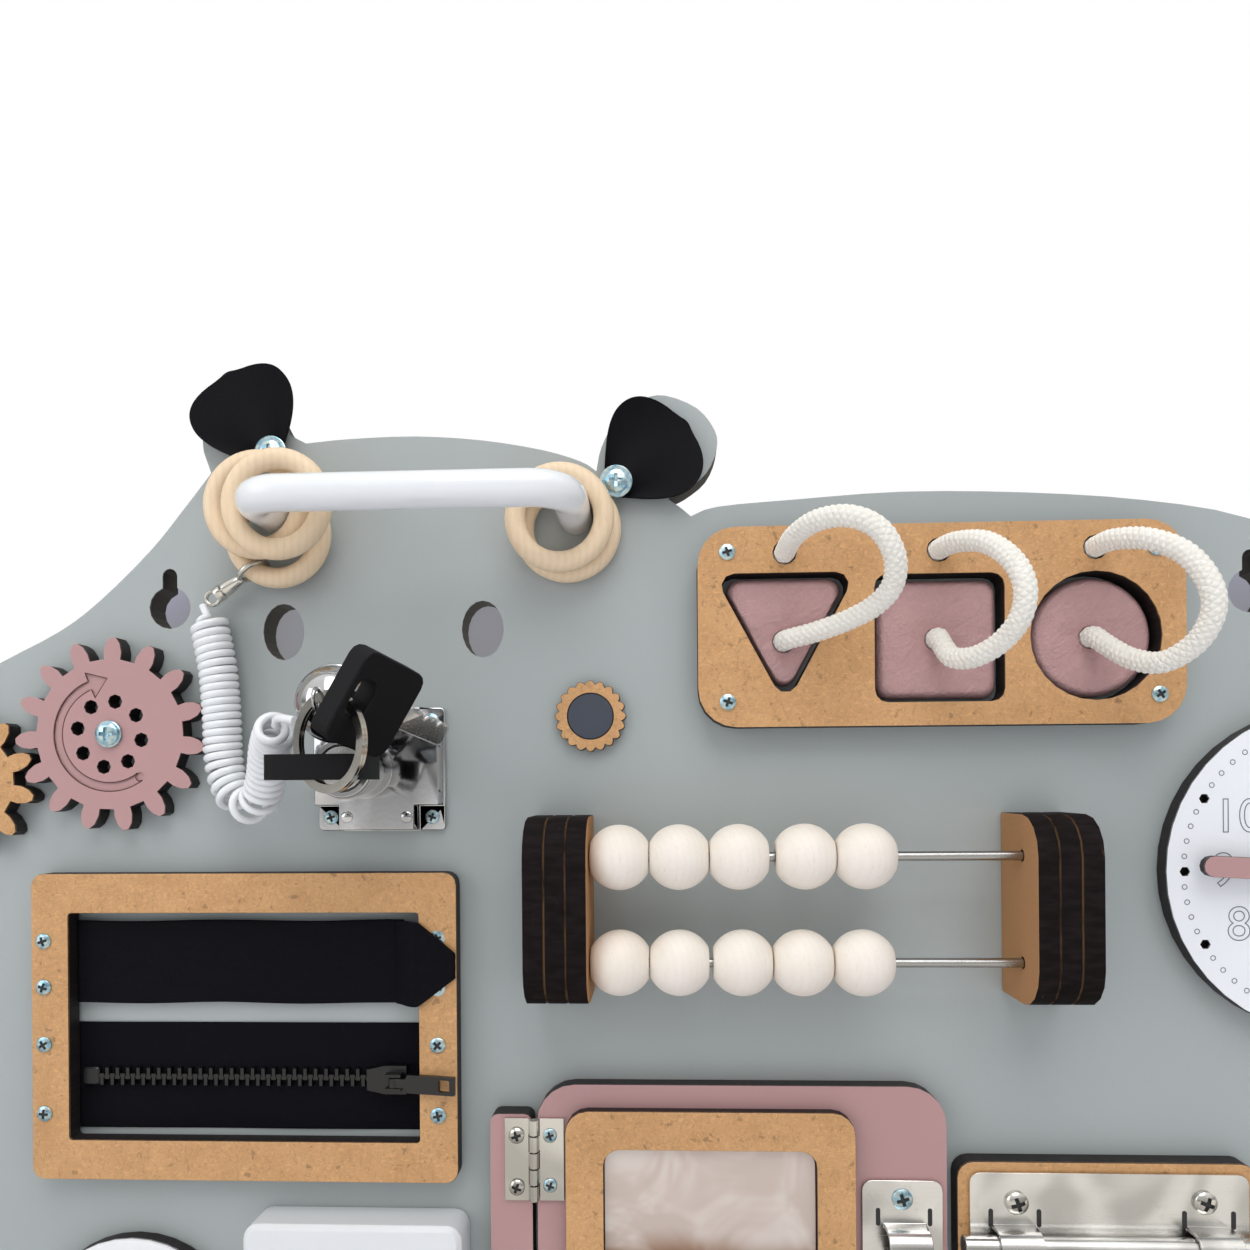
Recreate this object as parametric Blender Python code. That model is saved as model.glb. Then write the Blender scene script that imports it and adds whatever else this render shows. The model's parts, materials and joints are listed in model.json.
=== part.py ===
"""A wall activity board for small children, as one named object for each piece.

Metres, +Z up. The board's back lies in the plane y = 0 and its front faces -Y.
The origin is on the back, midway between the two keyhole hangers.
"""

import math

import bmesh
import bpy
import numpy as np
from mathutils import Matrix, Vector

MM = 0.001

# Clearances
GAP = 0.3 * MM
RUNNING = 0.25 * MM
OVERRUN = 2.0 * MM

# Board and the shares of it that place each activity
BOARD_WIDTH = 566.0 * MM
BOARD_HEIGHT = 364.0 * MM
BOARD_THICK = 10.0 * MM
KEYHOLE_SHARE = 0.6166
KEYHOLE_SPACING = KEYHOLE_SHARE * BOARD_WIDTH
KEYHOLE_RADIUS = 7.0 * MM
KEYHOLE_SLOT = 5.0 * MM
KEYHOLE_RISE = 13.0 * MM
EYE_WIDTH = 13.8 * MM
EYE_HEIGHT = 18.6 * MM
EYE_SHARES = [(-0.2405, -0.0236), (-0.1235, -0.0236)]

# Carry handle and the wooden rings on its legs
HANDLE_SPACING = 96.0 * MM
HANDLE_BAR = 11.0 * MM
HANDLE_REACH = 33.0 * MM
HANDLE_BEND = 11.0 * MM
HANDLE_SHARE = (-0.1537, 0.0742)
RING_OUTER = 35.0 * MM
RING_BAR = 6.6 * MM
HOOK_WIRE = 1.8 * MM

# Ears
LEAF_THICK = 1.6 * MM
LEAF_LENGTH = 40.0 * MM
LEAF_WIDTH = 33.0 * MM
LEAF_CUP = 5.0 * MM

# Gears
GEAR_MODULE = 3.95 * MM
GEAR_TEETH = 15
PINION_TEETH = 11
GEAR_THICK = 6.0 * MM
GEAR_ADDENDUM = 2.0 * MM
GEAR_DEDENDUM = 5.2 * MM
TOOTH_HALF = 2.7 * MM
GEAR_BORE = 6.0 * MM
GEAR_HOLE = 4.8 * MM
GEAR_HOLE_RING = 10.8 * MM
GEAR_LINE_DEG = 197.3
GEAR_PHASE_DEG = 15.5
ARROW_RING = 17.2 * MM
ARROW_WIDTH = 2.9 * MM
ARROW_DEPTH = 0.5 * MM
ARROW_HEAD = 6.3 * MM
ARROW_BARB = 4.5 * MM
ARROW_START_DEG = 306.0
ARROW_END_DEG = 112.0
GEAR_SHARE = (-0.3387, -0.1157)

# Drawer lock with a key in it
LOCK_WIDTH = 42.0 * MM
LOCK_HEIGHT = 40.0 * MM
LOCK_PLATE = 1.6 * MM
LOCK_COVER = 8.0 * MM
LOCK_WALL = 1.6 * MM
BARREL_RADIUS = 9.0 * MM
BARREL_REACH = 28.6 * MM
BARREL_OFFSET = 4.0 * MM
PLUG_RADIUS = 6.6 * MM
BOLT_WIDTH = 14.0 * MM
BOLT_THICK = 3.2 * MM
LOCK_SHARE = (-0.1823, -0.1489)
KEY_HEAD_WIDTH = 26.6 * MM
KEY_HEAD_THICK = 7.0 * MM
KEY_HEAD_HEIGHT = 24.0 * MM
KEY_BLADE_WIDTH = 7.6 * MM
KEY_BLADE_THICK = 2.0 * MM
KEY_BLADE_LENGTH = 22.0 * MM
KEY_SLOT_WIDTH = 11.0 * MM
KEY_SLOT_HEIGHT = 6.6 * MM
KEY_SLOT_WALL = 2.4 * MM
KEY_HEAD_CLEAR = 2.2 * MM
SPLIT_RING_RADIUS = 12.75 * MM
SPLIT_RING_BAND = 2.5 * MM
SPLIT_RING_THICK = 1.8 * MM
SPLIT_RING_TILT_DEG = 30.0
SPLIT_RING_OFFSET = (5.7 * MM, 6.7 * MM)
BELL_RADIUS = 11.0 * MM
BELL_LOOP = 2.9 * MM
BELL_LOOP_WIRE = 1.2 * MM

# Curly cord from the snap hook to the split ring
CORD_WIRE = 1.7 * MM
CURL_RADIUS = 5.1 * MM
CURL_PITCH = 2.35 * MM
CURL_POINTS = 8

# Frame with the zip and the strap
ZIP_WIDTH = 140.0 * MM
ZIP_HEIGHT = 99.5 * MM
ZIP_THICK = 6.0 * MM
ZIP_CORNER = 4.0 * MM
ZIP_WINDOW_WIDTH = 115.4 * MM
ZIP_WINDOW_HEIGHT = 73.8 * MM
ZIP_SHARE = (-0.2611, -0.3772)
TAPE_THICK = 0.8 * MM
TAPE_WIDTH = 35.0 * MM
TAPE_DROP = -17.6 * MM
TOOTH_PITCH = 3.5 * MM
TOOTH_START = 8.0 * MM
TOOTH_END = 11.4 * MM
TOOTH_RUN = ZIP_WINDOW_WIDTH - TOOTH_START - TOOTH_END
CHAIN_WIDTH = 6.6 * MM
CHAIN_HEIGHT = 2.2 * MM
SLIDER_LENGTH = 13.0 * MM
SLIDER_WALL = 1.0 * MM
PULL_LENGTH = 21.0 * MM
PULL_WIDTH = 5.8 * MM
PULL_THICK = 1.6 * MM
PULL_PIN = 1.2 * MM
PULL_LEAN_DEG = 10.0
STRAP_WIDTH = 27.0 * MM
STRAP_THICK = 1.2 * MM
STRAP_RISE = 20.3 * MM
STRAP_TIP = 12.0 * MM
STRAP_BLUNT = 8.0 * MM

# Plate with three shapes on ropes
SHAPE_WIDTH = 150.0 * MM
SHAPE_HEIGHT = 63.0 * MM
SHAPE_THICK = 8.7 * MM
SHAPE_CORNER = 12.0 * MM
SHAPE_SHARE = (0.1325, -0.0291)
SHAPE_SPACING = 47.7 * MM
SHAPE_DROP = 4.2 * MM
SQUARE_SIDE = 40.0 * MM
CIRCLE_RADIUS = 20.0 * MM
TRIANGLE_WIDTH = 45.0 * MM
TRIANGLE_HEIGHT = 42.0 * MM
SHAPE_ROUND = 4.0 * MM
INSERT_GAP = 1.4 * MM
INSERT_THICK = 5.6 * MM
ROPE_WIDTH = 6.4 * MM
ROPE_HOLE = 7.6 * MM
ROPE_SEAT = 1.5 * MM

# Bead counter
BLOCK_WIDTH = 19.0 * MM
BLOCK_HEIGHT = 57.0 * MM
BLOCK_DEPTH = 30.0 * MM
BLOCK_ROUND = 12.0 * MM
BLOCK_LAYERS = 3
BLOCK_SEAM = 0.4 * MM
BLOCK_SPAN = 130.3 * MM
ROD_WIDTH = 3.0 * MM
ROD_REACH = 18.0 * MM
ROD_SPACING = 32.2 * MM
ROD_SEAT = 12.0 * MM
BEAD_RADIUS = 10.0 * MM
BEAD_LENGTH = 17.8 * MM
BEAD_BORE = 4.2 * MM
COUNTER_SHARE = (0.0549, -0.2696)
COUNTER_SLACKS = (
    (0.1 * MM, 0.1 * MM, 0.1 * MM, 1.9 * MM, 0.1 * MM), (0.1 * MM, 0.1 * MM, 1.0 * MM, 0.1 * MM, 0.1 * MM),
)

# Round scalloped holder
FLOWER_RADIUS = 11.6 * MM
FLOWER_LOBES = 21
FLOWER_LOBE_DEPTH = 0.7 * MM
FLOWER_THICK = 3.0 * MM
MAGNET_RADIUS = 7.6 * MM
MAGNET_DROP = 0.5 * MM
FLOWER_SHARE = (-0.0610, -0.1036)

# Clock
CLOCK_RADIUS = 50.8 * MM
CLOCK_THICK = 6.0 * MM
CLOCK_HOLE = 3.2 * MM
CLOCK_HOLE_RING = 45.2 * MM
CLOCK_HUB = 3.0 * MM
CLOCK_SHARE = (0.3454, -0.2423)
HAND_WIDTH = 6.4 * MM
HAND_THICK = 3.0 * MM
MINUTE_HAND = 43.0 * MM
HOUR_HAND = 29.0 * MM
MINUTE_DEG = 177.0
HOUR_DEG = 24.0

# Door with its strip, hinges and slide bolt
DOOR_HEIGHT = 103.0 * MM
DOOR_THICK = 6.0 * MM
DOOR_LIFT = 1.8 * MM
DOOR_CORNER = 12.0 * MM
DOOR_SHARE = (0.0212, -0.5675)
STRIP_WIDTH = 13.4 * MM
STRIP_HEIGHT = 84.0 * MM
STRIP_CORNER = 2.5 * MM
HINGE_GAP = 1.6 * MM
FRAME_WIDTH = 90.2 * MM
FRAME_HEIGHT = 89.0 * MM
FRAME_THICK = 4.0 * MM
FRAME_CORNER = 7.0 * MM
FRAME_INSET = 9.4 * MM
DOOR_MARGIN = 28.9 * MM
DOOR_WIDTH = FRAME_INSET + FRAME_WIDTH + DOOR_MARGIN
WINDOW_WIDTH = 66.4 * MM
WINDOW_HEIGHT = 65.0 * MM
WINDOW_CORNER = 5.0 * MM
MIRROR_THICK = 1.5 * MM
HINGE_HEIGHT = 26.0 * MM
HINGE_LEAF = 7.6 * MM
HINGE_THICK = 0.8 * MM
HINGE_KNUCKLE = 1.5 * MM
HINGE_BORE = 0.75 * MM
HINGE_PIN = 0.5 * MM
HINGE_RISE = 28.1 * MM
HINGE_KNUCKLES = 5
BLOCK_PLATE_WIDTH = 91.4 * MM
BLOCK_PLATE_HEIGHT = 47.6 * MM
BLOCK_PLATE_THICK = 7.0 * MM
BLOCK_PLATE_CORNER = 5.0 * MM
BLOCK_PLATE_GAP = 3.3 * MM
LATCH_RISE = 4.3 * MM
LATCH_PLATE_WIDTH = 84.6 * MM
LATCH_PLATE_HEIGHT = 42.0 * MM
LATCH_PLATE_THICK = 1.2 * MM
LATCH_ROD_GAP = 0.7 * MM
LATCH_ROD = 7.0 * MM
LATCH_ARCH_WIDTH = 13.0 * MM
LATCH_ARCH_WALL = 1.2 * MM
LATCH_ARCH_SHARES = (0.158, 0.853)
LATCH_ROD_LENGTH = 107.0 * MM
LATCH_KNOB = 15.0 * MM
LATCH_KNOB_WIDTH = 5.0 * MM
LATCH_KNOB_SHARE = 0.50
KEEPER_WIDTH = 25.0 * MM
KEEPER_HEIGHT = 36.8 * MM
KEEPER_THICK = 1.0 * MM
KEEPER_INSET = 1.6 * MM
KEEPER_ARCH_SHARE = 0.53

# Light switch and round plate at the lower edge
SWITCH_WIDTH = 70.0 * MM
SWITCH_DEPTH = 14.0 * MM
SWITCH_CORNER = 5.0 * MM
SWITCH_GAP = 8.3 * MM
SWITCH_DROP = 11.0 * MM
ROCKER_WIDTH = 46.0 * MM
ROCKER_HEIGHT = 50.0 * MM
ROCKER_THICK = 4.5 * MM
ROCKER_TILT_DEG = 4.0
ROCKER_ROOM = 0.4 * MM
ROCKER_PIN = 1.5 * MM
ROCKER_PIN_SEAT = 1.5 * MM
SWITCH_FLOOR = 2.5 * MM
SWITCH_BEVEL = 1.5 * MM
DISC_RADIUS = 34.0 * MM
DISC_THICK = 6.0 * MM
DISC_ROUND = 1.0 * MM
DISC_GAP = 6.5 * MM
DISC_DROP = 20.0 * MM

# Colours
GREY = (0.41, 0.435, 0.43)
PINK = (0.42, 0.225, 0.215)
FIBRE = (0.52, 0.31, 0.145)
CHAR = (0.03, 0.018, 0.014)
WHITE = (0.80, 0.81, 0.83)
BLACK = (0.012, 0.012, 0.016)
BEECH = (0.78, 0.60, 0.42)
BEAD = (0.80, 0.70, 0.58)
COTTON = (0.74, 0.70, 0.62)
NICKEL = (0.62, 0.60, 0.57)
STEEL = (0.55, 0.55, 0.56)

# Hand points, places and turns
BACK_SHARES = [
    (-0.003, 0.074), (0.012, 0.082), (0.056, 0.087), (0.117, 0.092), (0.186, 0.089), (0.252, 0.080),
    (0.309, 0.062), (0.380, 0.014), (0.433, -0.088), (0.459, -0.234), (0.463, -0.412), (0.449, -0.591),
    (0.413, -0.709), (0.345, -0.772), (0.194, -0.789), (0.0, -0.791), (-0.194, -0.789), (-0.362, -0.778),
    (-0.442, -0.720), (-0.498, -0.591), (-0.532, -0.440), (-0.537, -0.297), (-0.514, -0.176),
    (-0.466, -0.093), (-0.4115, -0.0484), (-0.3747, -0.0198), (-0.350, 0.008), (-0.320, 0.052),
    (-0.301, 0.087), (-0.283, 0.122),
]
LEFT_EAR_SHARES = [
    (-0.283, 0.122), (-0.288, 0.151), (-0.279, 0.179), (-0.263, 0.190), (-0.247, 0.180),
    (-0.238, 0.158), (-0.2265, 0.147),
]
BROW_SHARES = [
    (-0.2265, 0.147), (-0.201, 0.150), (-0.162, 0.151), (-0.123, 0.146), (-0.088, 0.136),
    (-0.066, 0.125), (-0.057, 0.116),
]
RIGHT_EAR_SHARES = [
    (-0.057, 0.116), (-0.054, 0.137), (-0.045, 0.162), (-0.030, 0.179), (-0.017, 0.182), (0.001, 0.170),
    (0.011, 0.150), (0.012, 0.133), (0.006, 0.112), (-0.006, 0.097), (-0.016, 0.090),
]
NOTCH_SHARES = [(-0.016, 0.090), (-0.009, 0.082), (-0.003, 0.074)]
# Places of the rings on the legs: which leg, how many below, hook below, offset angle in degrees
RING_PLACES = [
    ("ring_front_left", -1, 2, True, 10.0),
    ("ring_middle_left", -1, 1, True, 145.0),
    ("ring_hooked", -1, 0, True, 265.0),
    ("ring_front_right", 1, 1, False, 210.0),
    ("ring_back_right", 1, 0, False, 240.0),
]
RING_PLAY = 0.4 * MM
LEFT_LEAF_SHARES = (-0.2455, 0.130)
RIGHT_LEAF_SHARES = (-0.0480, 0.098)
LEFT_LEAF_DEG = -26.0
RIGHT_LEAF_DEG = 40.0
# A tooth's outline: share of its height, and share of its half width at the root
TOOTH_SHARES = [(0.0, 1.0), (0.34, 1.08), (0.74, 0.84), (1.0, 0.32)]
BELL_TURN_DEG = 112.0
BELL_SINK = 0.8 * MM
SPARE_TURN_DEG = 52.5
SPARE_LEAN_DEG = 60.0
SPARE_DIP_DEG = 63.0
SPARE_SHIFT = 2.5 * MM
HOOK_ON_RING_DEG = 235.0
HOOK_LEAN_DEG = 213.0
HOOK_LOOP = 4.0 * MM
HOOK_BODY = 6.5 * MM
HOOK_BODY_WIDTH = 4.4 * MM
HOOK_COLLAR = 2.4 * MM
HOOK_COLLAR_RADIUS = 2.3 * MM
HOOK_EYE = 2.2 * MM
HOOK_EYE_WIRE = 1.3 * MM
CORD_TURN_DEG = 150.0
# The cord's way by hand, in millimetres: right of the origin, up, and off the board
CORD_POINTS = [
    (-158.2, -5.5, 6.6), (-157.0, -12.0, 6.6), (-155.2, -22.0, 6.6), (-154.0, -38.0, 6.6),
    (-153.8, -48.0, 6.6),
    (-152.4, -56.6, 6.9), (-147.0, -65.0, 9.2), (-139.4, -64.6, 13.6), (-134.4, -57.4, 18.6),
    (-131.0, -50.4, 24.6),
    (-127.2, -45.4, 31.0), (-123.0, -42.8, 37.5), (-121.0, -40.0, 42.6),
]
BEND_SHARE = 1.3
CORD_SMOOTH_STEPS = 81
COIL_FROM = 4.0 * MM
COIL_TO_END = 13.0 * MM
STRAP_LIFT = 2.0 * MM
SHAPES = ("triangle", "square", "circle")
# Each rope's way by hand in millimetres, from the insert's middle: right, up, off the board
ROPE_POINTS = {
    "triangle": [
        (0.0, 27.3, 1.5), (0.0, 27.3, 10.0), (1.6, 29.6, 20.0), (6.4, 31.0, 31.0), (14.0, 30.0, 39.0),
        (21.5, 25.5, 42.5), (26.0, 18.0, 42.0), (26.6, 11.0, 37.5), (23.2, 6.4, 30.5), (16.6, 3.4, 23.0),
        (8.4, 1.2, 16.0), (2.0, 0.2, 10.5), (0.0, 0.0, 6.5), (0.0, 0.0, 2.2),
    ],
    "square": [
        (0.0, 27.3, 1.5), (0.0, 27.3, 10.0), (2.4, 26.9, 20.0), (7.2, 24.0, 30.5), (11.4, 17.0, 39.0),
        (13.4, 8.6, 43.0), (12.8, 0.4, 41.0), (9.8, -5.4, 34.0), (5.0, -8.4, 26.0), (1.2, -7.4, 18.0),
        (0.0, -3.0, 12.0), (0.0, 0.0, 7.5), (0.0, 0.0, 2.2),
    ],
    "circle": [
        (0.0, 27.3, 1.5), (0.0, 27.3, 10.0), (1.0, 27.0, 19.0), (5.4, 24.2, 30.0), (11.0, 18.0, 38.5),
        (14.6, 8.8, 43.5), (15.6, 0.6, 43.5), (13.4, -7.0, 39.0), (8.6, -11.2, 31.0), (4.6, -8.8, 21.0),
        (1.2, -3.4, 12.5), (0.0, -0.2, 7.5), (0.0, 0.0, 2.2),
    ],
}


def place(shares):
    """The board place that shares of its width and height give."""
    return shares[0] * BOARD_WIDTH, shares[1] * BOARD_HEIGHT


def at(x, rise, z):
    """A point at a rise above the board's front face."""
    return Vector((x, -(BOARD_THICK + rise), z))


def clear_scene():
    """Take every object out of the scene."""
    for item in list(bpy.data.objects):
        bpy.data.objects.remove(item, do_unlink=True)


def finish(name, mesh_or_bmesh, colour, roughness=0.5, metallic=0.0, smooth_deg=35.0):
    """Link a mesh as a named object with its own material."""
    if isinstance(mesh_or_bmesh, bmesh.types.BMesh):
        bmesh.ops.recalc_face_normals(mesh_or_bmesh, faces=mesh_or_bmesh.faces)
        mesh = bpy.data.meshes.new(name)
        mesh_or_bmesh.to_mesh(mesh)
        mesh_or_bmesh.free()
    else:
        mesh = mesh_or_bmesh
    mesh.shade_smooth()
    mesh.set_sharp_from_angle(angle=math.radians(smooth_deg))
    item = bpy.data.objects.new(name, mesh)
    bpy.context.collection.objects.link(item)
    paint(item, colour, roughness, metallic)
    return item


def paint(item, colour, roughness=0.5, metallic=0.0):
    """Give an object a plain material of its own."""
    material = bpy.data.materials.new(item.name + "_finish")
    material.use_nodes = True
    shader = material.node_tree.nodes["Principled BSDF"]
    shader.inputs["Base Color"].default_value = (*colour, 1.0)
    shader.inputs["Roughness"].default_value = roughness
    shader.inputs["Metallic"].default_value = metallic
    item.data.materials.clear()
    item.data.materials.append(material)


def hang(item, x, rise, z):
    """Set an object down at a rise above the board's front face."""
    item.location = at(x, rise, z)
    return item


def cut(item, cutter):
    """Cut one object out of another with an exact Boolean."""
    combine(item, cutter, "DIFFERENCE")


def join(item, other):
    """Fuse another object into this one with an exact Boolean."""
    combine(item, other, "UNION")


def combine(item, other, operation):
    """Apply one Boolean and remove the object that it used."""
    modifier = item.modifiers.new("shape", "BOOLEAN")
    modifier.operation = operation
    modifier.solver = "EXACT"
    modifier.object = other
    bpy.context.view_layer.update()
    depsgraph = bpy.context.evaluated_depsgraph_get()
    mesh = bpy.data.meshes.new_from_object(item.evaluated_get(depsgraph))
    item.modifiers.remove(modifier)
    item.data = mesh
    bpy.data.objects.remove(other, do_unlink=True)


def arc(cx, cz, radius, start_deg, end_deg, steps):
    """Points along an arc, both ends included."""
    angles = np.radians(np.linspace(start_deg, end_deg, steps + 1))
    return [(cx + radius * math.cos(a), cz + radius * math.sin(a)) for a in angles]


def circle(cx, cz, radius, steps):
    """A closed circle of points."""
    return arc(cx, cz, radius, 0.0, 360.0, steps)[:-1]


def ellipse(cx, cz, width, height, steps):
    """A closed ellipse of points."""
    return [(cx + x * width / 2, cz + z * height / 2) for x, z in circle(0.0, 0.0, 1.0, steps)]


def rounded(cx, cz, width, height, radius, steps=4):
    """A rectangle with round corners, as a closed loop of points."""
    w, h = width / 2 - radius, height / 2 - radius
    loop = []
    for sx, sz, start in ((1, 1, 0), (-1, 1, 90), (-1, -1, 180), (1, -1, 270)):
        loop += arc(cx + sx * w, cz + sz * h, radius, start, start + 90, steps)
    return loop


def rounded_polygon(corners, radius, steps=4):
    """A convex polygon, counter-clockwise, with each corner rounded."""
    loop = []
    count = len(corners)
    for i, corner in enumerate(corners):
        here = Vector(corner)
        back = (Vector(corners[i - 1]) - here).normalized()
        ahead = (Vector(corners[(i + 1) % count]) - here).normalized()
        half = back.angle(ahead) / 2
        centre = here + (back + ahead).normalized() * (radius / math.sin(half))
        first = centre + (here + back * (radius / math.tan(half)) - centre)
        last = centre + (here + ahead * (radius / math.tan(half)) - centre)
        a0 = math.atan2(first.y - centre.y, first.x - centre.x)
        a1 = math.atan2(last.y - centre.y, last.x - centre.x)
        while a1 < a0:
            a1 += 2 * math.pi
        loop += arc(centre.x, centre.y, radius, math.degrees(a0), math.degrees(a1), steps)
    return loop


def catmull(points, steps):
    """A smooth open run through its points, without the last one."""
    points = [
        2 * np.array(points[0]) - points[1], *map(np.array, points), 2 * np.array(points[-1]) - points[-2],
    ]
    run = []
    for a, b, c, d in zip(points, points[1:], points[2:], points[3:]):
        for t in np.linspace(0.0, 1.0, steps, endpoint=False):
            run.append(tuple(
                0.5 * (
                    2 * b + (c - a) * t + (2 * a - 5 * b + 4 * c - d) * t**2
                    + (3 * b - a - 3 * c + d) * t**3
                )
            ))
    return run


def slab(loops, thick):
    """A flat plate from an outline and its holes, from y = 0 to y = -thick."""
    bm = bmesh.new()
    edges = []
    for loop in loops:
        verts = [bm.verts.new((x, 0.0, z)) for x, z in loop]
        edges += [bm.edges.new((verts[i - 1], verts[i])) for i in range(len(verts))]
    bmesh.ops.triangle_fill(bm, use_beauty=True, use_dissolve=False, edges=edges)
    raised = bmesh.ops.extrude_face_region(bm, geom=bm.faces[:] + bm.edges[:] + bm.verts[:])
    moved = [v for v in raised["geom"] if isinstance(v, bmesh.types.BMVert)]
    bmesh.ops.translate(bm, verts=moved, vec=(0.0, -thick, 0.0))
    return bm


def box(width, depth, height):
    """A box centred on X and Z that stands from y = 0 to y = -depth."""
    half = Vector((width / 2, 0.0, height / 2))
    return slab([[(-half.x, -half.z), (half.x, -half.z), (half.x, half.z), (-half.x, half.z)]], depth)


def revolve(profile, steps, closed=False):
    """Turn a profile of (radius, out) pairs about the Y axis, out towards -Y."""
    bm = bmesh.new()
    rings = []
    for radius, out in profile:
        if radius == 0.0:
            rings.append([bm.verts.new((0.0, -out, 0.0))])
        else:
            rings.append([bm.verts.new((x, -out, z)) for x, z in circle(0.0, 0.0, radius, steps)])
    pairs = list(zip(rings, rings[1:]))
    if closed:
        pairs.append((rings[-1], rings[0]))
    for low, high in pairs:
        for i in range(steps):
            j = (i + 1) % steps
            corners = [low[i % len(low)], low[j % len(low)], high[j % len(high)], high[i % len(high)]]
            bm.faces.new(list(dict.fromkeys(corners)))
    return bm


def cylinder(radius, length, steps):
    """A round bar from y = 0 to y = -length."""
    return revolve([(0.0, 0.0), (radius, 0.0), (radius, length), (0.0, length)], steps)


def washer(inner, outer, length, steps):
    """A round tube from y = 0 to y = -length."""
    return revolve([(inner, 0.0), (outer, 0.0), (outer, length), (inner, length)], steps, closed=True)


def torus(middle, bar, steps, sides):
    """A round ring lying flat against the board, centred on the origin."""
    profile = [(middle + r, out) for r, out in circle(0.0, 0.0, bar / 2, sides)]
    return revolve(profile, steps, closed=True)


def turned(bm, matrix):
    """Turn or move a shape before it becomes an object."""
    bmesh.ops.transform(bm, matrix=matrix, verts=bm.verts)
    return bm


def tube(name, points, width, resolution, colour, roughness=0.5, metallic=0.0, closed=False):
    """A round bar along its points, with filled ends."""
    data = bpy.data.curves.new(name, "CURVE")
    data.dimensions = "3D"
    data.bevel_depth = width / 2
    data.bevel_resolution = resolution
    data.use_fill_caps = True
    data.twist_mode = "MINIMUM"
    spline = data.splines.new("POLY")
    spline.points.add(len(points) - 1)
    for point, place_of in zip(spline.points, points):
        point.co = (*place_of, 1.0)
        point.radius = 1.0
    spline.use_cyclic_u = closed
    item = bpy.data.objects.new(name, data)
    bpy.context.collection.objects.link(item)
    paint(item, colour, roughness, metallic)
    return item


def about_x(deg):
    return Matrix.Rotation(math.radians(deg), 4, "X")


def about_y(deg):
    return Matrix.Rotation(math.radians(deg), 4, "Y")


def about_z(deg):
    return Matrix.Rotation(math.radians(deg), 4, "Z")


# Board


def board_outline():
    """The board's outline: smooth runs that meet at the ears and at the notch."""
    loop = []
    for run in (BACK_SHARES, LEFT_EAR_SHARES, BROW_SHARES, RIGHT_EAR_SHARES, NOTCH_SHARES):
        loop += catmull([place(share) for share in run], 3)
    return loop[::-1]


def keyhole(x):
    """A hanging keyhole: a round hole with a narrow slot above it."""
    half = KEYHOLE_SLOT / 2
    lift = math.degrees(math.asin(half / KEYHOLE_RADIUS))
    lower = arc(x, 0.0, KEYHOLE_RADIUS, 90 + lift, 450 - lift, 14)
    return lower + arc(x, KEYHOLE_RISE - half, half, 0, 180, 6)


def make_board():
    """The panel with its eyes, its keyholes and the bushes that the gears turn on."""
    loops = [board_outline()]
    for share in EYE_SHARES:
        x, z = place(share)
        loops.append(ellipse(x, z, EYE_WIDTH, EYE_HEIGHT, 20))
    for side in (-1, 1):
        loops.append(keyhole(side * KEYHOLE_SPACING / 2))
    board = finish("board_panel", slab(loops, BOARD_THICK), GREY, 0.55)
    for x, z in gear_centres():
        bush = finish("bush", cylinder(GEAR_BORE / 2 - RUNNING, GEAR_THICK + 2 * GAP + OVERRUN, 12), GREY)
        join(board, hang(bush, x, -OVERRUN, z))


# Handle and rings


def handle_leg(side):
    """The board place of one leg of the handle."""
    x, z = place(HANDLE_SHARE)
    return x + side * HANDLE_SPACING / 2, z


def make_handle():
    """A bow handle, one bent bar that stands square to the board."""
    left, z = handle_leg(-1)
    right = handle_leg(1)[0]
    points = [(left, GAP)]
    points += [(
        left + HANDLE_BEND * (1 - math.cos(a)), HANDLE_REACH - HANDLE_BEND * (1 - math.sin(a)),
    ) for a in np.radians(np.linspace(0, 90, 6))]
    points += [(right - (x - left), rise) for x, rise in reversed(points)]
    tube("carry_handle", [at(x, rise, z) for x, rise in points], HANDLE_BAR, 4, WHITE, 0.18)


def ring_centre(side, below, hooked, turn):
    """Where a ring lies, pressed against the leg that it hangs on."""
    x, z = handle_leg(side)
    offset = RING_OUTER / 2 - RING_BAR - HANDLE_BAR / 2 - RING_PLAY
    rise = GAP + RING_BAR / 2 + below * (RING_BAR + GAP)
    if hooked:
        rise += HOOK_WIRE + GAP
    a = math.radians(turn)
    return x + offset * math.cos(a), rise, z + offset * math.sin(a)


def make_rings():
    """Five turned wooden rings, three on the left leg and two on the right."""
    for name, side, below, hooked, turn in RING_PLACES:
        ring = finish(name, torus((RING_OUTER - RING_BAR) / 2, RING_BAR, 18, 6), BEECH, 0.5)
        hang(ring, *ring_centre(side, below, hooked, turn))


# Ears


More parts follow.
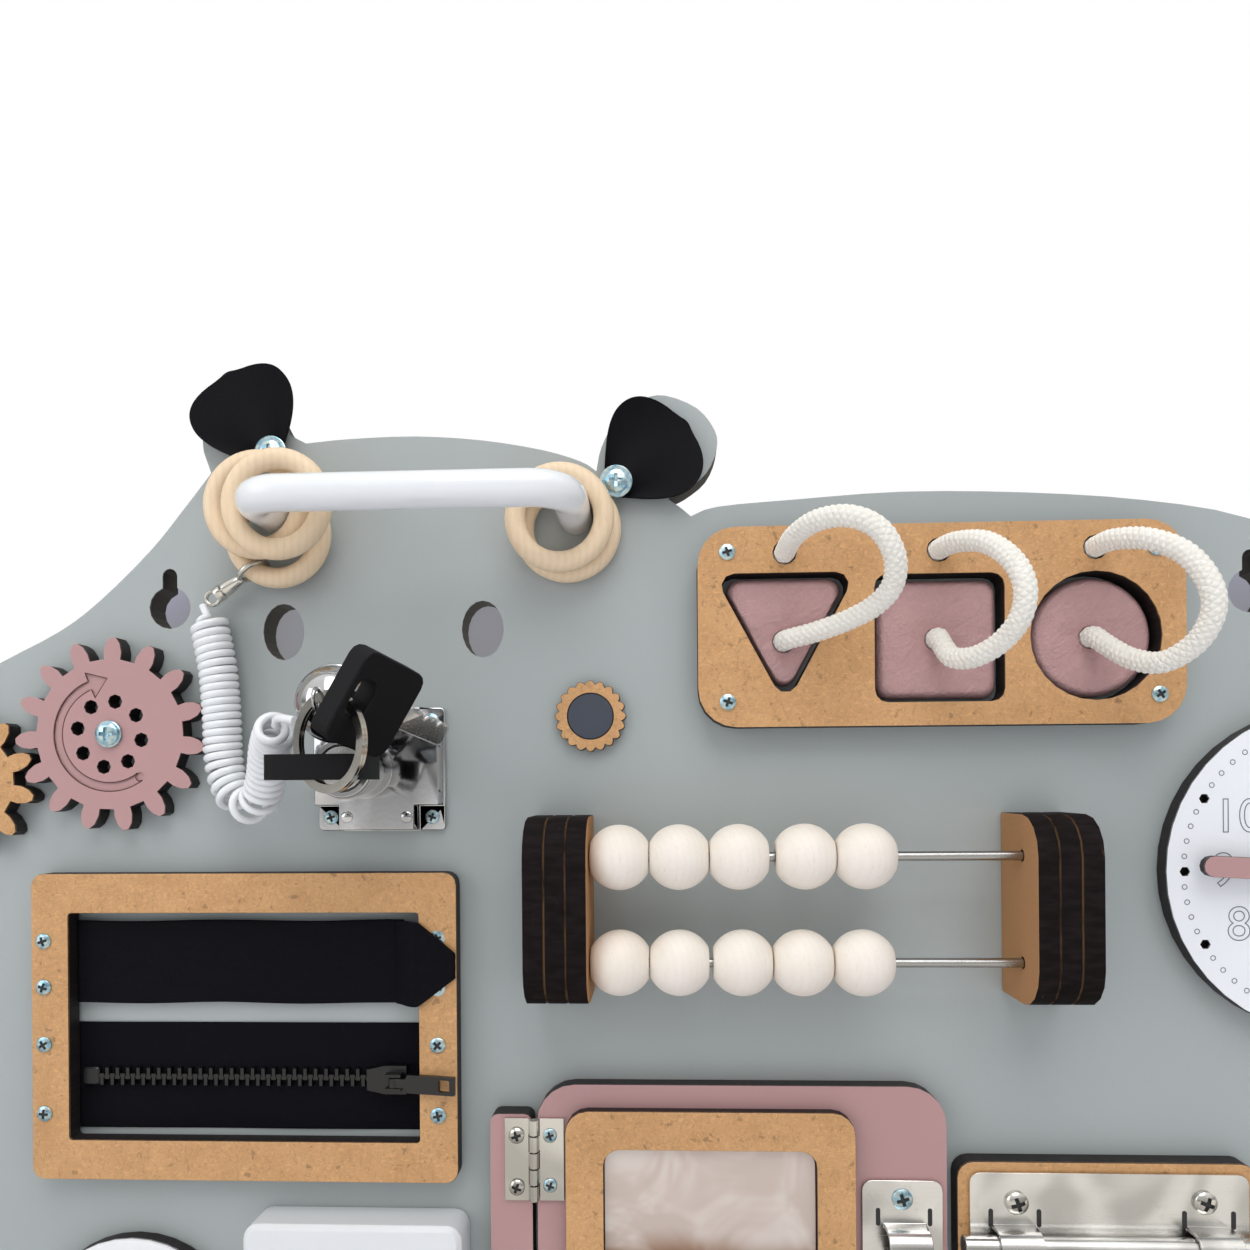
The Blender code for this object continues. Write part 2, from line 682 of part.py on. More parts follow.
def leaf(length, width, cup, thick):
    """A leaf pinched at its foot: a cupped sheet along +Z with a fold at the foot."""
    across, along = 8, 7
    bm = bmesh.new()
    sheets = []
    for back in (0.0, thick):
        rows = []
        for i in range(along + 1):
            t = i / along
            span = width / 2 * (0.16 + 0.84 * math.sin(math.pi * min(1.0, 0.12 + 0.80 * t)) ** 0.8)
            if i == along:
                span *= 0.45
            row = []
            for j in range(across + 1):
                s = 2 * j / across - 1
                lift = (
                    cup * (s * s) * (0.35 + 0.65 * t)
                    + cup * 0.9 * (1 - t) ** 2 * math.cos(1.5 * math.pi * s)
                )
                tip = 0.06 * (1 - s * s) * t * t
                row.append(bm.verts.new((s * span, -(lift + cup + back), length * (t + tip))))
            rows.append(row)
        sheets.append(rows)
    for rows in sheets:
        for low, high in zip(rows, rows[1:]):
            for j in range(across):
                bm.faces.new((low[j], low[j + 1], high[j + 1], high[j]))
    rims = []
    for rows in sheets:
        rims.append(rows[0] + [r[-1] for r in rows[1:]] + rows[-1][-2::-1] + [r[0] for r in rows[-2:0:-1]])
    count = len(rims[0])
    for i in range(count):
        j = (i + 1) % count
        bm.faces.new((rims[0][i], rims[0][j], rims[1][j], rims[1][i]))
    return bm


def make_ears():
    """Two soft leaves, each held by one screw at its folded foot."""
    for name, share, lean in (
        ("ear_leaf_left", LEFT_LEAF_SHARES, LEFT_LEAF_DEG),
        ("ear_leaf_right", RIGHT_LEAF_SHARES, RIGHT_LEAF_DEG),
    ):
        x, z = place(share)
        shape = turned(leaf(LEAF_LENGTH, LEAF_WIDTH, LEAF_CUP, LEAF_THICK), about_y(lean))
        lowest = min(-vert.co.y for vert in shape.verts)
        hang(finish(name, shape, BLACK, 0.9), x, GAP - lowest, z)


# Gears


def gear_centres():
    """Where the large gear and its pinion turn."""
    x, z = place(GEAR_SHARE)
    apart = GEAR_MODULE * (GEAR_TEETH + PINION_TEETH) / 2
    a = math.radians(GEAR_LINE_DEG)
    return [(x, z), (x + apart * math.cos(a), z + apart * math.sin(a))]


def gear_outline(teeth, phase_deg):
    """A gear with leaf-shaped teeth, as a closed loop of points."""
    pitch = GEAR_MODULE * teeth / 2
    root = pitch - GEAR_DEDENDUM
    tall = GEAR_ADDENDUM + GEAR_DEDENDUM
    loop = []
    for k in range(teeth):
        a = math.radians(phase_deg + 360.0 * k / teeth)
        out, side = Vector((math.cos(a), math.sin(a))), Vector((-math.sin(a), math.cos(a)))
        edge = [(root + tall * up, TOOTH_HALF * wide) for up, wide in TOOTH_SHARES]
        for sign, run in ((-1, edge), (1, edge[::-1])):
            loop += [tuple(out * radius + side * (sign * half)) for radius, half in run]
    return loop


def pinion_phase():
    """The pinion's first tooth angle that puts a tooth in each gap of the large gear."""
    ratio = GEAR_TEETH / PINION_TEETH
    behind = GEAR_LINE_DEG - 180.0
    return behind - ratio * (GEAR_PHASE_DEG - GEAR_LINE_DEG) + 180.0 / PINION_TEETH


def curved_arrow():
    """A flat curved arrow: an arc with round tail and a head, as one closed loop."""
    half = ARROW_WIDTH / 2
    start, end = ARROW_START_DEG, ARROW_END_DEG
    outer = arc(0.0, 0.0, ARROW_RING + half, start, end, 14)
    inner = arc(0.0, 0.0, ARROW_RING - half, end, start, 14)
    tail = Vector((math.cos(math.radians(start)), math.sin(math.radians(start)))) * ARROW_RING
    cap = arc(tail.x, tail.y, half, start + 180.0, start, 5)[1:-1]
    a = math.radians(end)
    hub = Vector((math.cos(a), math.sin(a))) * ARROW_RING
    out, ahead = Vector((math.cos(a), math.sin(a))), Vector((math.sin(a), -math.cos(a)))
    head = [tuple(hub + out * ARROW_BARB), tuple(hub + ahead * ARROW_HEAD), tuple(hub - out * ARROW_BARB)]
    return outer + head + inner + cap


def make_gears():
    """The large gear with its eight holes and engraved arrow, and its pinion."""
    centres = gear_centres()
    bore = circle(0.0, 0.0, GEAR_BORE / 2, 12)
    holes = [circle(x, z, GEAR_HOLE / 2, 8) for x, z in arc(0.0, 0.0, GEAR_HOLE_RING, 79.5, 394.5, 7)]
    large = finish(
        "gear_large", slab([gear_outline(GEAR_TEETH, GEAR_PHASE_DEG), bore, *holes], GEAR_THICK), PINK, 0.55,
    )
    groove = finish("groove", slab([curved_arrow()], ARROW_DEPTH + OVERRUN), PINK)
    groove.location = (0.0, -(GEAR_THICK - ARROW_DEPTH), 0.0)
    cut(large, groove)
    hang(large, centres[0][0], GAP, centres[0][1])
    pinion = finish(
        "gear_small", slab([gear_outline(PINION_TEETH, pinion_phase()), bore], GEAR_THICK), FIBRE, 0.6,
    )
    hang(pinion, centres[1][0], GAP, centres[1][1])


# Lock and keys


def lock_axis():
    """The board place of the lock barrel's axis."""
    x, z = place(LOCK_SHARE)
    return x - BARREL_OFFSET, z


def make_lock():
    """A drawer lock: base plate, raised cover with notched corners, barrel and bolt."""
    x, z = place(LOCK_SHARE)
    axis_x = lock_axis()[0]
    case = finish(
        "lock_case", slab([rounded(0.0, 0.0, LOCK_WIDTH, LOCK_HEIGHT, LOCK_WALL, 3)], LOCK_PLATE), NICKEL,
        0.2, 1.0,
    )
    notch = LOCK_HEIGHT / 5
    w, h = LOCK_WIDTH / 2 - LOCK_WALL / 2, LOCK_HEIGHT / 2 - LOCK_WALL / 4
    outline = [
        (-w, -h + notch), (-w + notch, -h + notch), (-w + notch, -h), (w - notch, -h),
        (w - notch, -h + notch),
        (w, -h + notch), (w, h - notch), (w - notch, h - notch), (w - notch, h), (-w + notch, h),
        (-w + notch, h - notch), (-w, h - notch),
    ]
    cover = finish("cover", slab([outline], LOCK_COVER - LOCK_PLATE / 2), NICKEL)
    cover.location = (0.0, -LOCK_PLATE / 2, 0.0)
    join(case, cover)
    barrel = finish("barrel", cylinder(BARREL_RADIUS, BARREL_REACH - LOCK_PLATE, 28), NICKEL)
    barrel.location = (axis_x - x, -LOCK_PLATE, 0.0)
    join(case, barrel)
    bore = finish("bore", cylinder(PLUG_RADIUS + RUNNING, BARREL_REACH, 20), NICKEL)
    bore.location = (axis_x - x, -(LOCK_PLATE + LOCK_WALL), 0.0)
    cut(case, bore)
    tunnel_width = LOCK_WIDTH / 2 - (axis_x - x) - PLUG_RADIUS - LOCK_WALL
    tunnel = finish("tunnel", box(tunnel_width + OVERRUN, BOLT_THICK + 2 * GAP, BOLT_WIDTH + 2 * GAP), NICKEL)
    tunnel.location = (LOCK_WIDTH / 2 - tunnel_width / 2 + OVERRUN / 2, -(LOCK_PLATE + LOCK_WALL), 0.0)
    cut(case, tunnel)
    hang(case, x, GAP, z)
    length = tunnel_width - GAP - LOCK_WALL / 2
    bolt = finish("lock_bolt", box(length, BOLT_THICK, BOLT_WIDTH), STEEL, 0.3, 1.0)
    hang(bolt, x + LOCK_WIDTH / 2 - LOCK_WALL / 2 - length / 2, GAP + LOCK_PLATE + LOCK_WALL + GAP, z)


def key_shape(slot_share):
    """A key along -Y: its blade from y = 0 and its moulded head with a ring slot."""
    blade = finish("blade", slab([key_blade_outline()], KEY_BLADE_THICK), STEEL)
    blade.data.transform(Matrix.Translation((0.0, 0.0, KEY_BLADE_THICK / 2)) @ about_x(90.0))
    head_outline = rounded(
        0.0, KEY_BLADE_LENGTH + KEY_HEAD_HEIGHT / 2, KEY_HEAD_WIDTH, KEY_HEAD_HEIGHT, KEY_HEAD_THICK / 2, 3,
    )
    slot_x = slot_share * (KEY_HEAD_WIDTH - KEY_SLOT_WIDTH - 2 * KEY_SLOT_WALL) / 2
    slot_z = KEY_BLADE_LENGTH + KEY_HEAD_HEIGHT - KEY_SLOT_WALL - KEY_SLOT_HEIGHT / 2
    slot = rounded(slot_x, slot_z, KEY_SLOT_WIDTH, KEY_SLOT_HEIGHT, KEY_SLOT_HEIGHT / 3, 2)
    head = finish("head", slab([head_outline, slot], KEY_HEAD_THICK), BLACK)
    head.data.transform(Matrix.Translation((0.0, 0.0, KEY_HEAD_THICK / 2)) @ about_x(90.0))
    join(head, blade)
    return head


def key_blade_outline():
    """A key's blade with its cuts: width across, tip at zero, foot inside the head."""
    half = KEY_BLADE_WIDTH / 2
    depth = KEY_BLADE_WIDTH / 5
    cuts = 5
    step = KEY_BLADE_LENGTH * 0.7 / cuts
    loop = [
        (half, KEY_BLADE_LENGTH + OVERRUN), (-half, KEY_BLADE_LENGTH + OVERRUN), (-half, depth),
        (-half + depth, 0.0), (half - depth, 0.0),
    ]
    for k in range(cuts):
        low = depth + k * step
        loop += [(half, low), (half - depth * (0.5 + 0.5 * (k % 2)), low + step / 2)]
    return loop


def make_keys():
    """The key in the lock with its turning plug, the split ring, the bell and the spare key."""
    axis_x, axis_z = lock_axis()
    seat = GAP + LOCK_PLATE + LOCK_WALL + GAP
    key = key_shape(-0.5)
    key.name = "lock_key"
    head_rise = GAP + BARREL_REACH + KEY_HEAD_CLEAR
    key.data.transform(Matrix.Translation((0.0, -(head_rise - KEY_BLADE_LENGTH - seat), 0.0)))
    plug = finish("plug", cylinder(PLUG_RADIUS, GAP + BARREL_REACH - seat - GAP, 20), STEEL)
    join(key, plug)
    hang(key, axis_x, seat, axis_z)
    ring_x, ring_rise, ring_z = split_ring_centre()
    middle, band, thick = SPLIT_RING_RADIUS, SPLIT_RING_BAND / 2, SPLIT_RING_THICK / 2
    profile = [
        (middle - band, -thick), (middle + band, -thick), (middle + band, thick), (middle - band, thick),
    ]
    ring = finish(
        "split_ring", turned(revolve(profile, 32, closed=True), about_z(-SPLIT_RING_TILT_DEG)), NICKEL,
        0.25, 1.0,
    )
    hang(ring, ring_x, ring_rise, ring_z)
    make_bell()
    make_spare_key()


def split_ring_centre():
    """The split ring's centre, just under the outer end of the key's head."""
    axis_x, axis_z = lock_axis()
    top = GAP + BARREL_REACH + KEY_HEAD_CLEAR + KEY_HEAD_HEIGHT
    return axis_x + SPLIT_RING_OFFSET[0], top - SPLIT_RING_THICK / 2, axis_z + SPLIT_RING_OFFSET[1]


def on_split_ring(turn_deg):
    """A point on the tilted split ring, its angle counted from the right, upwards."""
    x, rise, z = split_ring_centre()
    a, tilt = math.radians(turn_deg), math.radians(SPLIT_RING_TILT_DEG)
    across = SPLIT_RING_RADIUS * math.cos(a)
    return x + across * math.cos(tilt), rise + across * math.sin(tilt), z + SPLIT_RING_RADIUS * math.sin(a)


def make_bell():
    """A round jingle bell with its seam, its slots and a loop over the split ring."""
    x, rise, z = on_split_ring(BELL_TURN_DEG)
    loop_out = BELL_LOOP + BELL_LOOP_WIRE / 2
    seam = BELL_RADIUS * 0.06
    profile = [(0.0, -BELL_RADIUS)]
    for deg in (-66, -40, -16):
        a = math.radians(deg)
        profile.append((BELL_RADIUS * math.cos(a), BELL_RADIUS * math.sin(a)))
    profile += [(BELL_RADIUS + seam, -seam), (BELL_RADIUS + seam, seam)]
    for deg in (16, 40, 66):
        a = math.radians(deg)
        profile.append((BELL_RADIUS * math.cos(a), BELL_RADIUS * math.sin(a)))
    profile.append((0.0, BELL_RADIUS))
    bell = finish("jingle_bell", revolve(profile, 16), NICKEL, 0.15, 1.0)
    for turn in (0.0, 90.0):
        slot = finish(
            "slot", turned(box(BELL_RADIUS * 1.5, BELL_RADIUS * 0.5, BELL_LOOP_WIRE), about_y(turn)), NICKEL,
        )
        slot.location = (0.0, BELL_RADIUS + BELL_RADIUS * 0.05, 0.0)
        cut(bell, slot)
    loop = finish("loop", turned(torus(BELL_LOOP, BELL_LOOP_WIRE, 10, 5), about_z(90.0)), NICKEL)
    loop.location = (0.0, -(BELL_RADIUS + loop_out - BELL_SINK), 0.0)
    join(bell, loop)
    drop = BELL_RADIUS + loop_out - BELL_SINK
    hang(bell, x, rise - drop, z)


def spare_key_turn():
    """The spare key's attitude: head across the ring, blade down towards the board."""
    lean, dip = math.radians(SPARE_LEAN_DEG), math.radians(SPARE_DIP_DEG)
    across = Vector((math.cos(lean), 0.0, math.sin(lean)))
    aside = Vector((math.sin(lean), 0.0, -math.cos(lean)))
    blade = aside * math.cos(dip) + Vector((0.0, 1.0, 0.0)) * math.sin(dip)
    return Matrix((across, blade, across.cross(blade))).transposed().to_4x4()


def make_spare_key():
    """A second key that hangs on the split ring by the slot in its head."""
    key = key_shape(0.0)
    key.name = "spare_key"
    slot_out = KEY_BLADE_LENGTH + KEY_HEAD_HEIGHT - KEY_SLOT_WALL - KEY_SLOT_HEIGHT / 2
    key.data.transform(spare_key_turn() @ Matrix.Translation((SPARE_SHIFT, slot_out, 0.0)))
    x, rise, z = on_split_ring(SPARE_TURN_DEG)
    hang(key, x, rise, z)


# Snap hook and curly cord


def hook_centre():
    """The middle of the hook's loop, round the hooked ring's bar."""
    x, rise, z = ring_centre(*RING_PLACES[2][1:])
    a = math.radians(HOOK_ON_RING_DEG)
    middle = (RING_OUTER - RING_BAR) / 2
    return x + middle * math.cos(a), GAP + HOOK_WIRE + HOOK_LOOP, z + middle * math.sin(a)


def hook_run():
    """How far out from its loop the hook's body, collar and eye start."""
    body = HOOK_LOOP + HOOK_WIRE / 2
    collar = body + HOOK_BODY
    eye = collar + HOOK_COLLAR + HOOK_EYE
    return body, collar, eye


def make_hook():
    """A snap hook: its loop, its tapered body, the swivel collar and the eye."""
    body_start, collar_start, eye_start = hook_run()
    hook = finish(
        "snap_hook", turned(torus(HOOK_LOOP + HOOK_WIRE / 2, HOOK_WIRE, 16, 6), about_x(90.0)), NICKEL,
        0.25, 1.0,
    )
    half, narrow = HOOK_BODY_WIDTH / 2, HOOK_BODY_WIDTH / 3
    outline = [
        (body_start, -narrow), (body_start + HOOK_BODY, -half), (body_start + HOOK_BODY, half),
        (body_start, narrow),
    ]
    body = finish("body", slab([outline], HOOK_WIRE * 1.8), NICKEL)
    body.location = (0.0, HOOK_WIRE * 0.9, 0.0)
    join(hook, body)
    collar = finish(
        "collar", turned(cylinder(HOOK_COLLAR_RADIUS, HOOK_COLLAR + HOOK_EYE_WIRE, 12), about_z(90.0)),
        NICKEL,
    )
    collar.location = (collar_start - HOOK_WIRE / 4, 0.0, 0.0)
    join(hook, collar)
    eye = finish("eye", torus(HOOK_EYE, HOOK_EYE_WIRE, 14, 6), NICKEL)
    eye.location = (eye_start, 0.0, 0.0)
    join(hook, eye)
    hook.data.transform(about_y(-HOOK_LEAN_DEG))
    hang(hook, *hook_centre())


def cord_route():
    """The curly cord's middle line: down the board, round, and up to the split ring."""
    x, rise, z = hook_centre()
    a = math.radians(HOOK_LEAN_DEG)
    reach = hook_run()[2] + HOOK_EYE + HOOK_EYE_WIRE / 2 + GAP + CORD_WIRE / 2
    start = (x + reach * math.cos(a), z + reach * math.sin(a), rise)
    hold_x, hold_rise, hold_z = on_split_ring(CORD_TURN_DEG)
    out = SPLIT_RING_BAND / 2 + 2 * GAP + CORD_WIRE / 2
    end = (hold_x - out, hold_z, hold_rise - out / 2)
    middle = [(px * MM, pz * MM, pr * MM) for px, pz, pr in CORD_POINTS]
    return [start, *middle, end]


def make_cord():
    """The curly cord as one unbroken helix whose curls keep clear of each other."""
    line = np.array(catmull(cord_route(), 24) + [cord_route()[-1]])
    line = np.stack([line[:, 0], -(BOARD_THICK + line[:, 2]), line[:, 1]], axis=1)
    even, line = evened(line, 900)
    window = np.hanning(CORD_SMOOTH_STEPS)[:, None] / np.hanning(CORD_SMOOTH_STEPS).sum()
    half = CORD_SMOOTH_STEPS // 2
    rounder = [(line[i - half:i + half + 1] * window).sum(axis=0) for i in range(half, len(line) - half)]
    line = np.vstack([line[:half // 2], rounder, line[-half // 2:]])
    even, line = evened(line, 900)
    ahead = np.gradient(line, even, axis=0)
    ahead /= np.linalg.norm(ahead, axis=1)[:, None]
    bend = np.linalg.norm(np.gradient(ahead, even, axis=0), axis=1)
    bend = np.convolve(np.pad(bend, 20, mode="edge"), np.ones(41) / 41, mode="valid")
    pitch = CURL_PITCH / np.clip(1.0 - BEND_SHARE * CURL_RADIUS * bend, 0.3, 1.0)
    coiled = (even > COIL_FROM) & (even < even[-1] - COIL_TO_END)
    turns = np.cumsum(np.where(coiled, 1.0 / pitch, 0.0)) * (even[1] - even[0])
    total = turns[-1]
    marks = np.linspace(0.0, total, int(total * CURL_POINTS))
    first = np.argmax(coiled)
    last = len(coiled) - np.argmax(coiled[::-1])
    reach = np.interp(marks, turns[first:last], even[first:last])
    side = np.zeros_like(line)
    side[0] = np.cross(ahead[0], (0.0, 1.0, 0.0))
    for i in range(1, len(line)):
        side[i] = side[i - 1] - ahead[i] * np.dot(side[i - 1], ahead[i])
        side[i] /= np.linalg.norm(side[i])
    over = np.cross(ahead, side)
    grown = CURL_RADIUS * np.clip(np.minimum(marks, total - marks) / 0.8, 0.0, 1.0)
    read = [
        np.stack([np.interp(reach, even, each[:, k]) for k in range(3)], axis=1)
        for each in (line, side, over)
    ]
    angle = 2 * math.pi * marks
    curls = read[0] + grown[:, None] * (np.cos(angle)[:, None] * read[1] + np.sin(angle)[:, None] * read[2])
    before = [line[int(k)] for k in np.linspace(0, first, 4)[:-1]]
    after = [line[int(k)] for k in np.linspace(last, len(line) - 1, 10)[1:]]
    points = np.array([*before, *curls, *after])
    least = least_gap(points, CURL_POINTS // 2 + 1) - CORD_WIRE
    print("curls", round(total, 1), "points", len(points), "least gap mm", round(least / MM, 2))
    tube("curly_cord", points, CORD_WIRE, 1, WHITE, 0.35)


def evened(line, count):
    """The same run with its points at even distances, and those distances."""
    along = np.concatenate([[0.0], np.cumsum(np.linalg.norm(np.diff(line, axis=0), axis=1))])
    even = np.linspace(0.0, along[-1], count)
    return even, np.stack([np.interp(even, along, line[:, k]) for k in range(3)], axis=1)


def least_gap(points, skip):
    """The least distance between the tube's points that are more than skip apart along it."""
    best = 1.0
    for i in range(len(points) - skip):
        best = min(best, np.linalg.norm(points[i + skip:] - points[i], axis=1).min())
    return best


# Zip, strap and their frame


def frame_rise():
    """The frame's back: it clamps the zip's tape against the board."""
    return 2 * GAP + TAPE_THICK


def tape_top():
    return GAP + TAPE_THICK


def make_zip_frame():
    """The fibreboard frame round the window."""
    x, z = place(ZIP_SHARE)
    loops = [
        rounded(0.0, 0.0, ZIP_WIDTH, ZIP_HEIGHT, ZIP_CORNER),
        rounded(0.0, 0.0, ZIP_WINDOW_WIDTH, ZIP_WINDOW_HEIGHT, ZIP_CORNER / 4, 2),
    ]
    hang(finish("zip_frame", slab(loops, ZIP_THICK), FIBRE, 0.7), x, frame_rise(), z)


def make_zip_tape():
    """The closed zip: its tape, its two rows of interlocked teeth and its end stop."""
    x, z = place(ZIP_SHARE)
    length = ZIP_WIDTH - 4 * ZIP_CORNER
    tape = finish("zip_tape", box(length, TAPE_THICK, TAPE_WIDTH), BLACK, 0.9)
    first = -ZIP_WINDOW_WIDTH / 2 + TOOTH_START
    tooth_width, neck = TOOTH_PITCH * 0.42, TOOTH_PITCH * 0.22
    rows = None
    for k in range(int(TOOTH_RUN / TOOTH_PITCH * 2)):
        side = 1 if k % 2 else -1
        here = first + k * TOOTH_PITCH / 2
        inner, outer = -side * CHAIN_WIDTH * 0.12, side * CHAIN_WIDTH / 2
        outline = [
            (here - tooth_width / 2, inner), (here + tooth_width / 2, inner), (here + neck, outer),
            (here - neck, outer),
        ]
        tooth = slab([outline], CHAIN_HEIGHT + TAPE_THICK / 2)
        rows = rows or bmesh.new()
        mesh = bpy.data.meshes.new("tooth")
        bmesh.ops.recalc_face_normals(tooth, faces=tooth.faces)
        tooth.to_mesh(mesh)
        tooth.free()
        rows.from_mesh(mesh)
    teeth = finish("teeth", rows, BLACK)
    teeth.location = (0.0, -TAPE_THICK / 2, 0.0)
    join(tape, teeth)
    stop = finish("stop", box(TOOTH_START * 0.7, CHAIN_HEIGHT + TAPE_THICK / 2, CHAIN_WIDTH), BLACK)
    stop.location = (-ZIP_WINDOW_WIDTH / 2 + TOOTH_START * 0.5, -TAPE_THICK / 2, 0.0)
    join(tape, stop)
    hang(tape, x, GAP, z + TAPE_DROP)


def slider_start():
    """The slider's left end at rest, clear of the last tooth by its own mouth."""
    return -ZIP_WINDOW_WIDTH / 2 + TOOTH_START + TOOTH_RUN - SLIDER_LENGTH / 2


def make_slider():
    """The slider, a roofed channel over the teeth, with two lugs and a pin for the pull."""
    x, z = place(ZIP_SHARE)
    inner = CHAIN_WIDTH + 2 * GAP
    width = inner + 2 * SLIDER_WALL
    tall = CHAIN_HEIGHT + GAP + SLIDER_WALL
    w, n = width / 2, width * 0.36
    front = SLIDER_LENGTH * 0.45
    outline = [(0.0, -n), (front, -w), (SLIDER_LENGTH, -w), (SLIDER_LENGTH, w), (front, w), (0.0, n)]
    body = finish("zip_slider", slab([outline], tall), BLACK, 0.35, 0.3)
    channel = finish("channel", box(SLIDER_LENGTH + 2 * OVERRUN, CHAIN_HEIGHT + GAP + OVERRUN, inner), BLACK)
    channel.location = (SLIDER_LENGTH / 2, OVERRUN, 0.0)
    cut(body, channel)
    lug_length = SLIDER_LENGTH * 0.4
    lug_tall = PULL_PIN * 2 + PULL_THICK / 2
    for side in (-1, 1):
        lug = finish("lug", box(lug_length, lug_tall + SLIDER_WALL / 2, SLIDER_WALL), BLACK)
        lug.location = (
            pull_pin_place()[0], -(tall - SLIDER_WALL / 2), side * (PULL_WIDTH / 4 + GAP + SLIDER_WALL / 2),
        )
        join(body, lug)
    pin = finish(
        "pin", turned(cylinder(PULL_PIN / 2, PULL_WIDTH / 2 + 2 * GAP + SLIDER_WALL, 8), about_x(-90.0)),
        BLACK,
    )
    pin.location = (pull_pin_place()[0], -pull_pin_place()[1], -(PULL_WIDTH / 4 + GAP + SLIDER_WALL / 2))
    join(body, pin)
    hang(body, x + slider_start(), tape_top() + GAP, z + TAPE_DROP)


def pull_pin_place():
    """The pull's pin, from the slider's left end and its underside."""
    tall = CHAIN_HEIGHT + GAP + SLIDER_WALL
    return SLIDER_LENGTH * 0.72, tall + PULL_PIN + PULL_THICK / 2 + GAP


def make_pull():
    """The pull: a tab with a window and a knuckle round the slider's pin."""
    x, z = place(ZIP_SHARE)
    half = PULL_WIDTH / 2
    neck = PULL_WIDTH / 4
    start, shoulder = PULL_PIN, SLIDER_LENGTH * 0.34
    outline = [
        (start, -neck), (shoulder, -neck), (shoulder + neck / 2, -half), (PULL_LENGTH, -half),
        (PULL_LENGTH, half), (shoulder + neck / 2, half), (shoulder, neck), (start, neck),
    ]
    window = rounded(
        PULL_LENGTH - half - SLIDER_WALL / 2, 0.0, PULL_WIDTH - 2 * SLIDER_WALL,
        PULL_WIDTH - 2 * SLIDER_WALL, SLIDER_WALL / 2, 2,
    )
    pull = finish("zip_pull", slab([outline, window], PULL_THICK), BLACK, 0.35, 0.3)
    pull.data.transform(Matrix.Translation((0.0, PULL_THICK / 2, 0.0)))
    knuckle = turned(washer(PULL_PIN / 2 + RUNNING, PULL_PIN * 1.25, 2 * neck, 12), about_x(-90.0))
    knuckle = finish("knuckle", turned(knuckle, Matrix.Translation((0.0, 0.0, -neck))), BLACK)
    join(pull, knuckle)
    pull.data.transform(about_z(-PULL_LEAN_DEG))
    pin_x, pin_rise = pull_pin_place()
    hang(pull, x + slider_start() + pin_x, tape_top() + GAP + pin_rise, z + TAPE_DROP)


def make_strap():
    """The woven strap: it leaves the frame's left bar and its pointed tip lies on the right one."""
    x, z = place(ZIP_SHARE)
    low = STRAP_LIFT
    high = frame_rise() + ZIP_THICK + GAP
    left, bar = -ZIP_WINDOW_WIDTH / 2 + GAP, ZIP_WINDOW_WIDTH / 2
    run = [
        (left, low), (bar * 0.72, low), (bar * 0.86, low + (high - low) * 0.25),
        (bar * 0.95, high - STRAP_THICK * 0.4), (bar + ZIP_CORNER / 4, high), (bar + STRAP_TIP, high),
    ]
    bm = bmesh.new()
    rows = []
    half, blunt = STRAP_WIDTH / 2, STRAP_BLUNT / 2
    for px, rise in run:
        share = max(0.0, (px - bar) / STRAP_TIP)
        span = half + (blunt - half) * share
        rows.append([bm.verts.new(at(px, r, s * span) - at(0.0, 0.0, 0.0)) for r, s in (
            (rise, -1), (rise, 1), (rise + STRAP_THICK, 1), (rise + STRAP_THICK, -1),
        )])
    for a, b in zip(rows, rows[1:]):
        for i in range(4):
            bm.faces.new((a[i], a[(i + 1) % 4], b[(i + 1) % 4], b[i]))
    bm.faces.new(rows[0])
    bm.faces.new(rows[-1][::-1])
    hang(finish("strap", bm, BLACK, 0.9), x, 0.0, z + STRAP_RISE)


# Shapes on ropes


def shape_places():
    """The middles of the triangle, the square and the circle in the plate."""
    x, z = place(SHAPE_SHARE)
    return [(x + k * SHAPE_SPACING, z - SHAPE_DROP) for k in (-1, 0, 1)]


def shape_loop(kind, inset, radius):
    """The outline of one shape, drawn in by an inset, about the shape's middle."""
    if kind == "square":
        side = SQUARE_SIDE - 2 * inset
        return rounded(0.0, 0.0, side, side, radius, 3)
    if kind == "circle":
        return circle(0.0, 0.0, CIRCLE_RADIUS - inset, 28)
    w, h = TRIANGLE_WIDTH / 2, TRIANGLE_HEIGHT / 2
    scale = 1.0 - 2.6 * inset / TRIANGLE_HEIGHT
    lift = inset * 0.55
    return rounded_polygon(
        [(0.0, -h * scale + lift), (w * scale, h * scale + lift), (-w * scale, h * scale + lift)], radius, 3,
    )


def make_shapes():
    """The plate with three openings and the three inserts that lift out of it."""
    x, z = place(SHAPE_SHARE)
    loops = [rounded(0.0, 0.0, SHAPE_WIDTH, SHAPE_HEIGHT, SHAPE_CORNER, 5)]
    for kind, (cx, cz) in zip(SHAPES, shape_places()):
        loops.append([(px + cx - x, pz + cz - z) for px, pz in shape_loop(kind, 0.0, SHAPE_ROUND)])
        loops.append(circle(cx - x, cz - z + SHAPE_HEIGHT / 2 - SHAPE_DROP, ROPE_HOLE / 2, 12))
    hang(finish("shape_plate", slab(loops, SHAPE_THICK), FIBRE, 0.7), x, GAP, z)
    for kind, (cx, cz) in zip(SHAPES, shape_places()):
        insert = insert_body(kind)
        hang(insert, cx, GAP, cz)


